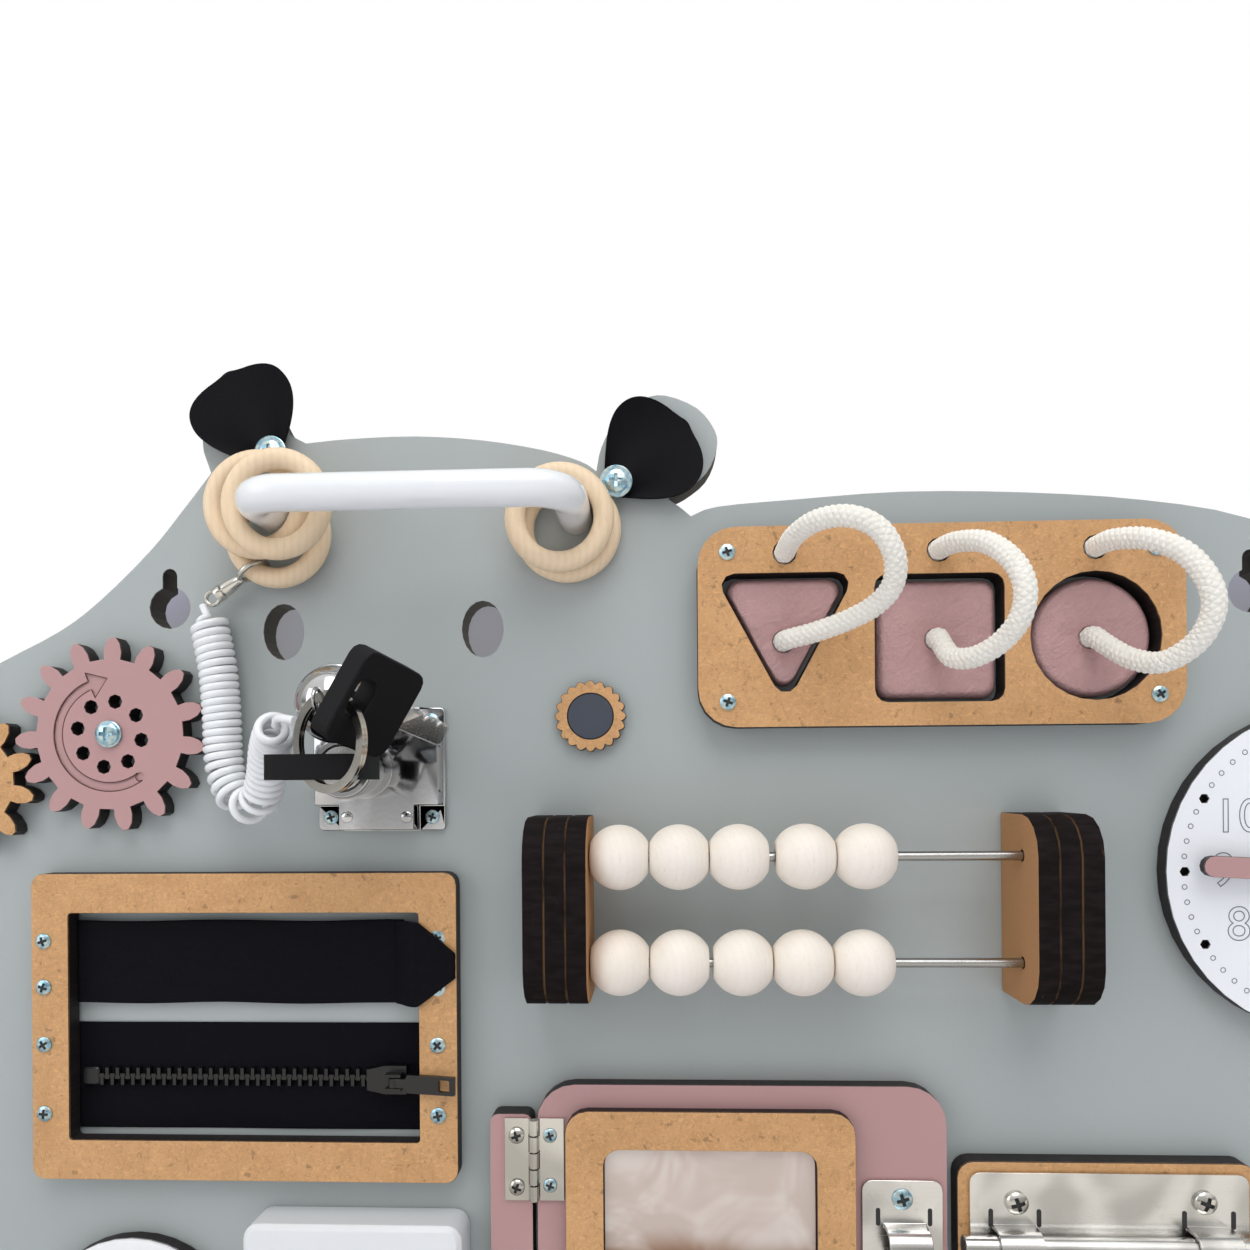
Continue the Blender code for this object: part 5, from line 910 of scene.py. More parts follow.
# Each rope's way in millimetres, from its insert's middle: right, up, off the board
ROPE_POINTS = {
    "triangle": [
        (0.0, 27.3, 1.5), (0.0, 27.3, 10.0), (1.6, 29.6, 20.0), (6.4, 31.0, 31.0), (14.0, 30.0, 39.0),
        (21.5, 25.5, 42.5), (26.0, 18.0, 42.0), (26.6, 11.0, 37.5), (23.2, 6.4, 30.5), (16.6, 3.4, 23.0),
        (8.4, 1.2, 16.0), (2.0, 0.2, 10.5), (0.0, 0.0, 6.5), (0.0, 0.0, 2.2),
    ],
    "square": [
        (0.0, 27.3, 1.5), (0.0, 27.3, 10.0), (2.4, 26.9, 20.0), (7.2, 24.0, 30.5), (11.4, 17.0, 39.0),
        (13.4, 8.6, 43.0), (12.8, 0.4, 41.0), (9.8, -5.4, 34.0), (5.0, -8.4, 26.0), (1.2, -7.4, 18.0),
        (0.0, -3.0, 12.0), (0.0, 0.0, 7.5), (0.0, 0.0, 2.2),
    ],
    "circle": [
        (0.0, 27.3, 1.5), (0.0, 27.3, 10.0), (1.0, 27.0, 19.0), (5.4, 24.2, 30.0), (11.0, 18.0, 38.5),
        (14.6, 8.8, 43.5), (15.6, 0.6, 43.5), (13.4, -7.0, 39.0), (8.6, -11.2, 31.0), (4.6, -8.8, 21.0),
        (1.2, -3.4, 12.5), (0.0, -0.2, 7.5), (0.0, 0.0, 2.2),
    ],
}
INSERT_MIDDLES = {"triangle": 27.3, "square": 75.0, "circle": 122.7}
INSERT_HEIGHT = -14.8


class MakeRopes(BoardStep):
    """The three braided cotton ropes."""

    bl_idname = "board.ropes"
    bl_label = "Ropes"

    def build(self):
        finish = cotton("braided_cotton", colours().rope)
        for kind, way in ROPE_POINTS.items():
            way = np.array(way) + (INSERT_MIDDLES[kind], INSERT_HEIGHT, 0.0)
            even, line = evened(on_board(catmull(way * MM, CURVE_STEPS)), 620)
            rope = new_piece("rope_braid_" + kind, self.braid(even, line), finish, kind, 80.0, "rope_" + kind)

    def braid(self, even, line):
        """A tube whose radius rises on strands that wind both ways and pass over and under.

        With u and v the turns of the two windings, the strands are the ridges of |cos pi u| and
        |cos pi v|, and the product of their slower waves picks which one is on top.
        """
        size, (side, over) = sizes(), carried_frame(line)
        a = round_angles(64)[None, :]
        s = even[:, None] / (size.rope * 1.9)
        n = size.strands / 2
        u, v = s * n + n * a / (2 * math.pi), s * n - n * a / (2 * math.pi)
        top = 0.5 + 0.5 * np.tanh(3.0 * np.sin(math.pi * (u + v)) * np.sin(math.pi * (u - v) + 0.5))
        ridge = np.abs(np.cos(math.pi * u)) ** 0.7 * top + np.abs(np.cos(math.pi * v)) ** 0.7 * (1 - top)
        radius = size.rope / 2 * (0.86 + 0.16 * ridge)
        around = np.cos(a)[..., None] * side[:, None] + np.sin(a)[..., None] * over[:, None]
        return shell(line[:, None] + radius[..., None] * around)


class MakeBoard(BoardStep):
    """The grey board, its handle, its rings and its ears."""

    bl_idname = "board.panel"
    bl_label = "Board, handle, rings and ears"

    def build(self):
        give(lacquer("board_lacquer", colours().board, -BOARD_FRONT, 0.0), "board_panel")
        self.handle()
        self.rings()
        self.ears()
        self.ear_screws()

    def handle(self):
        """One bar swept along a line with two round bends."""
        low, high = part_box("carry_handle")
        bar, bend = sizes().bar, 11.0 * MM
        left, right, z = low.x + bar / 2, high.x - bar / 2, (low.z + high.z) / 2
        reach = -low.y - BOARD_FRONT - bar / 2
        a = np.radians(np.linspace(0.0, 90.0, 14))
        x, out = bend * (1 - np.cos(a)), reach - bend * (1 - np.sin(a))
        half = on_board(np.stack([left + x, 0 * a + z, out], -1))
        other = half[::-1].copy()
        other[:, 0] = right - (half[::-1, 0] - left)
        line = np.vstack([(left, high.y, z), half, other, (right, high.y, z)])
        gloss = plastic("handle_gloss", colours().white, 0.16, 0.5, 300.0)
        item = new_piece("handle_bar", swept(line, circle(bar, 40)), gloss, nodes="carry_handle")

    def rings(self):
        """Round bars turned about an axis square to the board."""
        finish = turned_wood("ring_wood", colours().ring)
        for name in ("front_left", "middle_left", "hooked", "front_right", "back_right"):
            low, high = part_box("ring_" + name)
            centre, bar = (low + high) / 2, sizes().ring_bar
            radius = ((high.x - low.x) + (high.z - low.z)) / 4 - bar / 2
            ring = revolved(circle(bar, 22, radius), 72, closed=True)
            shape = placed(ring, centre.x, -centre.y - BOARD_FRONT, centre.z)
            item = new_piece("wood_ring_" + name, shape, finish, f"ring_{name}_body", 80.0, "ring_" + name)

    def ears(self):
        """Cupped leaves: across s and along t, width and lift as products of simple waves."""
        finish = grained_leather("ear_leather", colours().black, 1500.0, 0.05, 0.7, 0.35)
        finish.set("Specular IOR Level", 0.12)
        for side, x, z, lean in (("left", -138.953, 47.32, -26.0), ("right", -27.168, 35.672, 50.0)):
            rows, columns = 36, 36
            t, s = np.meshgrid(np.linspace(0, 1, rows), np.linspace(-1, 1, columns), indexing="ij")
            wave = 0.2 + 0.8 * np.sin(math.pi / 2 * np.minimum(1.0, t / 0.62)) ** 1.1
            wave *= np.sqrt(np.clip(1 - np.clip((t - 0.6) / 0.405, 0.0, 1.0) ** 2.4, 0.0, 1.0))
            span, cup = 17.4 * np.maximum(wave, 0.06), 4.0
            lift = cup * (s * wave) ** 2 * (0.35 + 0.65 * t) + cup
            lift += cup * 0.5 * (1 - t) ** 2 * np.cos(1.5 * math.pi * s)
            along = 31.5 * (t + 0.03 * (1 - s * s) * t * t) - 0.5
            a, across = math.radians(lean), s * span
            right = x + across * math.cos(a) + along * math.sin(a)
            up = z - across * math.sin(a) + along * math.cos(a)
            face = on_board(np.stack([right, up, lift - lift.min() + 0.3], -1) * MM).reshape(-1, 3)
            n, rim, front = rows * columns, rim_of(rows, columns), grid_faces(rows, columns)
            faces = front + [[n + i for i in f[::-1]] for f in front]
            faces += [[i, j, n + j, n + i] for i, j in zip(rim, rim[1:] + rim[:1])]
            shape = np.vstack([face, face - (0.0, 1.5 * MM, 0.0)]), faces
            item = new_piece("ear_" + side, shape, finish, nodes="ear_leaf_" + side)

    def ear_screws(self):
        """A washer and a cross-headed screw on each ear's foot."""
        rise = 4.5
        washer = turned([(2.2, 0.0), (5.2, 0.0), (5.2, 0.8), (4.9, 1.0), (2.2, 1.0)], 40, closed=True)
        shank = turned([(0.0, 0.0), (2.3, 0.0), (2.3, rise), (0.0, rise)], 20)
        head = head_shape(3.6 * MM, 1.5 * MM, 1.2 * MM)
        for side, x, z in (("left", -138.0, 49.2), ("right", -25.6, 37.2)):
            stack = (washer, rise), (shank, 0.2), (head, rise + 1.0)
            shapes = [placed(shape, x * MM, up * MM, z * MM) for shape, up in stack]
            new_piece("ear_screw_" + side, together(*shapes), zinc(), "board", 30.0)


class MakeGears(BoardStep):
    """The two gears and their pivot screws."""

    bl_idname = "board.gears"
    bl_label = "Gears"

    def build(self):
        eased("gear_large", lacquer("gear_rose", colours().rose, front_y("gear_large")), 0.2)
        eased("gear_small", fibreboard("gear_fibre", front_y("gear_small")), 0.2)
        self.arrow()
        foot = turned([(0.0, 0.0), (4.4, 0.0), (4.4, 0.7), (4.1, 0.9), (0.0, 0.9)], 40)
        head = head_shape(3.7 * MM, 1.6 * MM, 1.3 * MM)
        for name, (x, z) in (("large", LARGE_GEAR), ("small", SMALL_GEAR)):
            rise = front_rise("gear_" + name) + 0.15 * MM
            stack = (foot, rise), (head, rise + 0.85 * MM)
            shapes = [placed(shape, x * MM, up, z * MM) for shape, up in stack]
            new_piece("gear_screw_" + name, together(*shapes), zinc(), "board", 30.0)

    def arrow(self):
        """The thin scorched line round the arrow engraved on the large gear."""
        loop = arrow_loop(1.45 * MM, 4.5 * MM, 6.3 * MM) + np.array(LARGE_GEAR) * MM
        shape = placed(flat_band(loop, 0.34 * MM, -0.05 * MM, 0.03 * MM), 0.0, front_rise("gear_large"), 0.0)
        new_piece("arrow_line", shape, plastic("arrow_burnt", tone(92, 58, 56), 0.8), "large_gear", 60.0)


def arrow_loop(half, barb, ahead):
    """The curved arrow's outline about the gear's axis: two arcs, a round tail and a head."""
    ring, start, end = 17.2 * MM, math.radians(306.0), math.radians(112.0)
    run, out = unit(np.linspace(start, end, 48)), unit(end)
    head = [out * (ring + barb), out * ring + (out[1] * ahead, -out[0] * ahead), out * (ring - barb)]
    b = np.linspace(start + math.pi, start + 2 * math.pi, 12)[1:-1]
    tail = ring * unit(start) + half * unit(b)
    return np.vstack([run * (ring + half), head, run[::-1] * (ring - half), tail])


def rounded_loop(width, height, radius, steps=6):
    """A rectangle with round corners as points (across, up), about the origin."""
    w, h = width / 2 - radius, height / 2 - radius
    runs = []
    for sx, sy, start in ((1, 1, 0), (-1, 1, 90), (-1, -1, 180), (1, -1, 270)):
        runs.append(radius * unit(np.radians(np.linspace(start, start + 90, steps + 1))) + (sx * w, sy * h))
    return np.concatenate(runs)


def flat_band(loop, width, low, high):
    """A closed band of a width along a loop, from one height to another."""
    ahead = np.roll(loop, -1, 0) - np.roll(loop, 1, 0)
    side = np.column_stack([ahead[:, 1], -ahead[:, 0]]) / np.linalg.norm(ahead, axis=1)[:, None]
    section = [(-1, low), (1, low), (1, high), (-1, high)]
    rows = [np.column_stack([loop + side * s * width / 2, np.full(len(loop), h)]) for s, h in section]
    return shell(np.stack(rows, 1), closed_rows=True)


class MakeLock(BoardStep):
    """The drawer lock, its two keys, the split ring, the bell and the snap hook."""

    bl_idname = "board.lock"
    bl_label = "Lock, keys, bell and hook"

    def build(self):
        eased("lock_case", chrome(), 0.5, 3)
        eased("lock_bolt", nickel())
        self.barrel()
        self.key_heads()
        self.split_ring()
        self.bell()
        self.hook()
        spots = [(-119.9, -69.9), (-86.5, -69.9), (-86.5, -38.5), (-119.9, -38.5)]
        screws("lock_screws", spots, 1.9 * MM, width=4.6)
        rivet = head_shape(1.9 * MM, 0.9 * MM, 0.0)
        spots = [(-112.7, -69.6), (-93.3, -69.7), (-93.3, -39.3)]
        rivets = [placed(rivet, x * MM, 8.2 * MM, z * MM) for x, z in spots]
        new_piece("lock_rivets", together(*rivets), chrome(), "board", 60.0)

    def barrel(self):
        """A smooth collar over the barrel's outer end, with a rounded lip."""
        out = [
            (6.95, 27.4), (8.6, 27.4), (9.15, 26.9), (9.3, 26.0),
            (9.3, 8.6), (9.1, 8.3), (9.0, 8.3), (6.95, 26.0),
        ]
        collar = placed(turned(out, 72, closed=True), LOCK_AXIS[0] * MM, 0.0, LOCK_AXIS[1] * MM)
        new_piece("barrel_collar", collar, chrome(), "board", 35.0)

    def key_heads(self):
        """Each key: a moulded head with soft edges and a ring slot, and its steel blade."""
        for node in ("lock_key", "spare_key"):
            item = eased(node, self.key_finish(node), 0.7, 3, angle_deg=50.0)

    def key_finish(self, node):
        """Matt black on the head and steel on the blade, told apart along the key."""
        finish = Finish(node + "_finish", colours().black, 0.45)
        finish.set("Specular IOR Level", 0.2)
        if node == "lock_key":
            centre, ahead, start = (0.0, 0.0, 0.0), (0.0, -1.0, 0.0), 40.9 * MM
        else:
            centre, ahead = (-94.76 * MM, -68.081 * MM, -37.384 * MM), (-0.39317, -0.89101, 0.227)
            start = -18.3 * MM
        place = finish.vector("SUBTRACT", finish.node("ShaderNodeTexCoord", output="Object"), centre)
        head = finish.vector("DOT_PRODUCT", place, ahead, output="Value") > start
        grain = finish.noise(1500.0, 2.0)
        finish.set("Base Color", finish.mix(head, (0.72, 0.72, 0.73), colours().black))
        finish.set("Metallic", 1 - head)
        finish.set("Roughness", head * 0.3 + 0.22 + grain * 0.08)
        finish.bump(grain, 0.03 * MM, 0.5)
        return finish

    def split_ring(self):
        """Two flat turns of wire that lie on each other, with the groove between them."""
        half, thick, groove = 1.25 * MM, 0.9 * MM, 0.1 * MM
        side = np.array([(half, -thick), (half, -groove), (half * 0.85, 0.0), (half, groove), (half, thick)])
        section = np.vstack([side, -side]) + (12.75 * MM, 0.0)
        turn = Matrix.Rotation(math.radians(-30.0), 4, "Y")
        shape = placed(revolved(section, 96, closed=True), -101.482 * MM, 54.2 * MM, -47.5 * MM, turn)
        new_piece("split_ring_turns", shape, nickel(), "key_turn", 30.0, "split_ring")

    def bell(self):
        """A hollow ball of six bent grids, its seam, its crossed slots and its loop.

        On each grid a point is (u, v, 1) brought to the ball's radius; the slots are the squares
        of two of its sides whose u or v is near nought.
        """
        low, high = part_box("jingle_bell")
        radius, x, z = 11.0 * MM, (low.x + high.x) / 2, (low.z + high.z) / 2
        centre_out = -high.y - BOARD_FRONT + radius
        slot = 0.075
        side = np.linspace(slot * 1.6, 1, 12)
        marks = np.concatenate([-side[::-1], [-slot, 0.0, slot], side])
        u, v = np.meshgrid(np.tan(marks * math.pi / 4), np.tan(marks * math.pi / 4), indexing="ij")
        n = len(marks)
        shapes = []
        for k in range(6):
            axis, sign = k // 2, 1 - 2 * (k % 2)
            place = np.stack([u, v, sign + 0 * u], -1)
            place = np.roll(place / np.linalg.norm(place, axis=-1)[..., None], axis, -1) * radius
            faces = grid_faces(n, n)
            if axis == 0 and sign < 0 or axis == 1 and sign > 0:
                mid = np.array([(u.ravel()[f].mean(), v.ravel()[f].mean()) for f in faces])
                gone = (abs(mid).min(1) < slot * 0.8) & (abs(mid).max(1) < 0.72)
                faces = [f for f, out in zip(faces, gone) if not out]
            shapes.append((place.reshape(-1, 3), faces))
        ball = together(*shapes)
        item = new_piece("bell_shell", placed(ball, x, centre_out, z), chrome(), "bell", 50.0, "jingle_bell")
        walled(item, 0.5 * MM, -1.0)
        band = [(10.95, -0.75), (11.35, -0.6), (11.5, -0.2), (11.5, 0.2), (11.35, 0.6), (10.95, 0.75)]
        seam = placed(turned(band, 72, closed=True), x, centre_out, z)
        loop = revolved(circle(1.2 * MM, 14, 2.9 * MM), 40, closed=True)
        upright = Matrix.Rotation(math.radians(90.0), 4, "Y")
        loop = placed(loop, x, centre_out + radius + 2.7 * MM, z, upright)
        new_piece("bell_loop", together(loop, seam), chrome(), "bell", 50.0)
        pea = [(0.0, -3.0), (1.6, -2.5), (2.6, -1.5), (3.0, 0.0), (2.6, 1.5), (1.6, 2.5), (0.0, 3.0)]
        new_piece("bell_pea", placed(turned(pea, 24), x, centre_out - 5.0 * MM, z), steel(), "bell", 80.0)

    def hook(self):
        """The snap hook: a round loop with its gate, a waisted body, swivel collar and eye."""
        ring, faces = revolved(circle(1.8 * MM, 16, 4.9 * MM), 56, closed=True)
        ring = ring[:, [0, 2, 1]], faces
        body, faces = turned([
            (0.0, 4.4), (1.0, 4.4), (1.5, 5.0), (1.9, 7.2), (2.25, 9.6), (2.3, 11.3),
            (1.3, 11.5), (1.3, 11.9), (2.5, 12.0), (2.65, 13.0), (2.4, 14.3), (0.0, 14.4),
        ], 36)
        body = body[:, [2, 0, 1]], faces
        eye, faces = revolved(circle(1.3 * MM, 14, 2.2 * MM), 40, closed=True)
        eye = eye + (16.0 * MM, 0.0, 0.0), faces
        gate, faces = turned([(0.0, -1.0), (0.6, -0.9), (0.7, 0.0), (0.6, 0.9), (0.0, 1.0)], 18)
        gate = gate + (1.5 * MM, -5.6 * MM, 0.0), faces
        turn = Matrix.Rotation(math.radians(213.0), 4, "Z")
        shape = placed(together(ring, body, eye, gate), -143.575 * MM, 6.1 * MM, 10.396 * MM, turn)
        rides_on = body_of(frame["nodes"]["snap_hook"])[0]
        new_piece("hook_parts", shape, nickel(), rides_on, 45.0, "snap_hook")


class MakeZip(BoardStep):
    """The framed window with its zip and its strap."""

    bl_idname = "board.zip"
    bl_label = "Zip and strap"

    def build(self):
        eased("zip_frame", fibreboard("frame_fibre", front_y("zip_frame")))
        spots = [(-213.5, z) for z in (-109.5, -124.5, -143.1, -165.6)]
        spots += [(-84.0, z) for z in (-142.8, -165.3)]
        screws("frame_screws", spots, front_rise("zip_frame"))
        self.tape()
        self.teeth()
        dark = plastic("zip_plastic", times(colours().black, 0.8), 0.32, 0.2, 900.0)
        for node in ("zip_slider", "zip_pull"):
            eased(node, dark, 0.25)
        self.strap()

    def tape(self):
        """Flat woven tape, thicker in the cord along its middle, its surface slightly slack."""
        low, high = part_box("zip_tape")
        rows, columns = 140, 60
        u, v = np.linspace(low.x, high.x, rows), np.linspace(low.z, high.z, columns)
        u, v = np.meshgrid(u, v, indexing="ij")
        y = high.y - 0.25 * MM - 0.15 * MM * np.sin((u - low.x) * 95.0) * np.cos((v - low.z) * 160.0)
        y -= 0.35 * MM * np.exp(-((v - (low.z + high.z) / 2) / (2.2 * MM)) ** 2)
        uv = np.stack([u, v], -1).reshape(-1, 2)
        shape = np.stack([u, y, v], -1).reshape(-1, 3), grid_faces(rows, columns)
        finish = woven("zip_tape_cloth", colours().black, 0.8, 0.5)
        item = new_piece("zip_tape_cloth", shape, finish, "board", 80.0, "zip_tape", uv)
        walled(item, 0.35 * MM, -1.0)

    def teeth(self):
        """Two rows of moulded teeth that interlock: a foot on the tape and a rounded head."""
        low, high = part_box("zip_tape")
        z, half_pitch = (low.z + high.z) / 2, 1.75 * MM
        end = -205.483 * MM
        first = end + 8.0 * MM
        tooth = [(0.0, -0.85), (1.0, -1.05), (1.0, -0.75), (2.0, -0.62), (3.9, -0.62)]
        tooth = np.array(tooth + [(reach, -across) for reach, across in tooth[::-1]]) * MM
        shapes = []
        for k in range(54):
            side = 1 if k % 2 else -1
            layers = []
            for grow, short, out in ((1.0, 1.0, 0.6), (1.0, 1.0, 2.0), (0.86, 0.95, 2.5)):
                across = first + k * half_pitch + tooth[:, 1] * grow
                up = z + side * (tooth[:, 0] * short - 0.9 * MM)
                layers.append((np.column_stack([across, up]), out * MM))
            shapes.append(placed(layered(*layers)))
        for at, long in ((end + 4.2 * MM, 5.6), (first + 54 * half_pitch + 1.0 * MM, 2.2)):
            stop = rounded_loop(long * MM, 5.8 * MM, 0.9 * MM, 4)
            layers = [(stop * g + (at, z), out * MM) for g, out in ((1.0, 0.6), (1.0, 2.1), (0.85, 2.5))]
            shapes.append(placed(layered(*layers)))
        finish = plastic("tooth_plastic", times(colours().black, 0.9), 0.36, 0.15, 1500.0)
        new_piece("zip_teeth", together(*shapes), finish, "board", 35.0)

    def strap(self):
        """A webbing strap: its way over the frame's bar, its tip cut to a blunt point."""
        low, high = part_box("strap")
        top = front_rise("zip_frame") / MM + 0.4
        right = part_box("zip_frame")[1].x - 12.3 * MM
        way = [
            (low.x, 2.3), (right - 16.0 * MM, 2.3), (right - 8.0 * MM, 3.6), (right - 2.6 * MM, top),
            (right + 1.0 * MM, top + 0.4), (high.x, top + 0.3),
        ]
        even, line = evened(catmull(np.array([(a, b * MM) for a, b in way]), 20), 150)
        z, half = (low.z + high.z) / 2, (high.z - low.z) / 2
        t = np.clip((line[:, 0] - (high.x - 12.0 * MM)) / (12.0 * MM), 0.0, 1.0)
        span = half + (4.0 * MM - half) * t
        s = np.linspace(-1, 1, 44)[None, :]
        up = z + span[:, None] * s + 0.25 * MM * np.sin(line[:, :1] * 110.0)
        out = line[:, 1:] + 0.12 * MM * np.sin(s * 9.0 + line[:, :1] * 160.0)
        face = on_board(np.stack([line[:, :1] + 0 * s, up, out], -1))
        uv = np.stack([even[:, None] + 0 * s, up], -1).reshape(-1, 2)
        finish = woven("strap_webbing", colours().black, 1.3, 0.7, 0.8)
        shape = face.reshape(-1, 3), grid_faces(*face.shape[:2])
        item = new_piece("strap_webbing", shape, finish, "strap_body", 80.0, "strap", uv)
        walled(item, 0.9 * MM, 0.0)
        screws("strap_screws", [(-84.0, -108.6), (-84.0, -124.6)], front_rise("zip_frame"), tall=0.28)


def shape_loop(kind, inset, count=120):
    """The outline of an insert, drawn in by an inset, as evenly spaced points."""
    if kind == "circle":
        return unit(round_angles(count)) * (20.0 * MM - inset)
    if kind == "square":
        side = 40.0 * MM - 2 * inset
        loop = rounded_loop(side, side, 4.0 * MM, 8)
    else:
        scale = 1.0 - 2.6 * inset / (42.0 * MM)
        w, h, lift = 22.5 * MM * scale, 21.0 * MM * scale, inset * 0.55
        loop = rounded_corners(np.array([(0.0, lift - h), (w, h + lift), (-w, h + lift)]), 4.0 * MM, 10)
    return evened(np.vstack([loop, loop[:1]]), count + 1)[1][:-1]


def rounded_corners(corners, radius, steps):
    """A polygon with each corner replaced by an arc that touches both its sides."""
    points = []
    for i in range(len(corners)):
        at = corners[i]
        to, back = corners[(i + 1) % len(corners)] - at, corners[i - 1] - at
        to, back = to / np.linalg.norm(to), back / np.linalg.norm(back)
        half = math.acos(np.clip(to.dot(back), -1, 1)) / 2
        centre = at + (to + back) / np.linalg.norm(to + back) * radius / math.sin(half)
        first = at + back * radius / math.tan(half) - centre
        last = at + to * radius / math.tan(half) - centre
        a, b = math.atan2(first[1], first[0]), math.atan2(last[1], last[0])
        b += 2 * math.pi * round((a - b) / (2 * math.pi))
        points.append(centre + radius * unit(np.linspace(a, b, steps)))
    return np.concatenate(points)


class MakeShapes(BoardStep):
    """The plate with three openings, its soft inserts and its screws."""

    bl_idname = "board.shapes"
    bl_label = "Shapes"

    def build(self):
        eased("shape_plate", fibreboard("plate_fibre", front_y("shape_plate")))
        spots = [(9.3, 12.9), (9.2, -34.2), (141.7, -33.2), (141.0, 12.0)]
        screws("plate_screws", spots, front_rise("shape_plate"))
        finish = grained_leather("insert_leather", colours().leather, 620.0, 0.3, 0.36, 0.9)
        for kind, x in INSERT_MIDDLES.items():
            item = new_piece("cover_" + kind, self.cover(kind, x * MM), finish, kind, 60.0, "insert_" + kind)

    def cover(self, kind, x):
        """A soft pad: its outline shrunk to the rope's hole, the height a crown less a dimple.

        At share t inwards the height grows as 1 - (1 - t / 0.16)^2.4 near the edge, then sinks
        towards the hole by 1.5 mm exp(-(r / 6 mm)^2), with long shallow creases by angle.
        """
        base = shape_loop(kind, 1.4 * MM)
        thick, hole, rim = 5.6 * MM, 3.6 * MM, 0.16
        t = np.concatenate([[0.0, 0.0], np.linspace(0.0, rim, 8)[1:], np.linspace(rim, 1.0, 26)[1:]])[:, None]
        angle = np.arctan2(base[:, 1], base[:, 0])[None, :]
        reach = np.hypot(base[:, 0], base[:, 1])[None, :]
        radius = reach + (hole - reach) * t
        edge = 1 - np.clip(1 - t / rim, 0.0, 1.0) ** 2.4
        crease = np.sin(angle * 5 + 1.3) * np.sin(angle * 2 + radius * 260.0)
        height = thick * (0.62 + 0.36 * edge) - 1.5 * MM * np.exp(-((radius / (6.0 * MM)) ** 2))
        height = height + 0.22 * MM * crease * np.sin(math.pi * np.clip(t, 0, 1)) ** 0.6
        height[0], height[1] = 0.0, thick * 0.62
        points = np.stack([radius * np.cos(angle), radius * np.sin(angle), np.minimum(height, thick)], -1)
        inner = points[-1:].copy()
        inner[..., 2] = 1.5 * MM
        return placed(shell(np.concatenate([points, inner])), x, 0.3 * MM, INSERT_HEIGHT * MM)


def flower_shape(radius, depth, lobes, hole, thick):
    """A scalloped ring: radius R - d (1 - |cos(n a / 2)|) by angle, round its hole."""
    a = round_angles(lobes * 12)
    edge = radius - depth * (1 - np.abs(np.cos(lobes * a / 2)))
    soft = 0.25 * MM
    hole = hole + 0 * a
    rows = [(hole, 0.0), (hole, thick), (edge - soft, thick), (edge, thick - soft), (edge, 0.0)]
    rows = [np.column_stack([unit(a) * r[:, None], np.full(len(a), h)]) for r, h in rows]
    return shell(np.stack(rows, 1)[::-1], closed_rows=True)


class MakeHolder(BoardStep):
    """The scalloped ring with a dark round magnet set in it."""

    bl_idname = "board.holder"
    bl_label = "Scalloped holder"

    def build(self):
        low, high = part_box("scalloped_holder")
        centre, radius, rise = (low + high) / 2, (high.x - low.x) / 2, front_rise("scalloped_holder")
        flower = flower_shape(radius, 1.3 * MM, 20, 7.6 * MM, rise - 0.05 * MM)
        finish = fibreboard("holder_fibre", low.y)
        flower = placed(flower, centre.x, 0.05 * MM, centre.z)
        item = new_piece("flower", flower, finish, "board", 30.0, "scalloped_holder")
        disc = turned([(0.0, 0.0), (7.4, 0.0), (7.4, 2.2), (7.1, 2.5), (0.0, 2.5)], 64)
        finish = plastic("magnet_slate", tone(62, 68, 80), 0.7, 0.0, 1600.0, 0.06)
        new_piece("holder_magnet", placed(disc, centre.x, rise - 2.6 * MM, centre.z), finish, "board", 40.0)


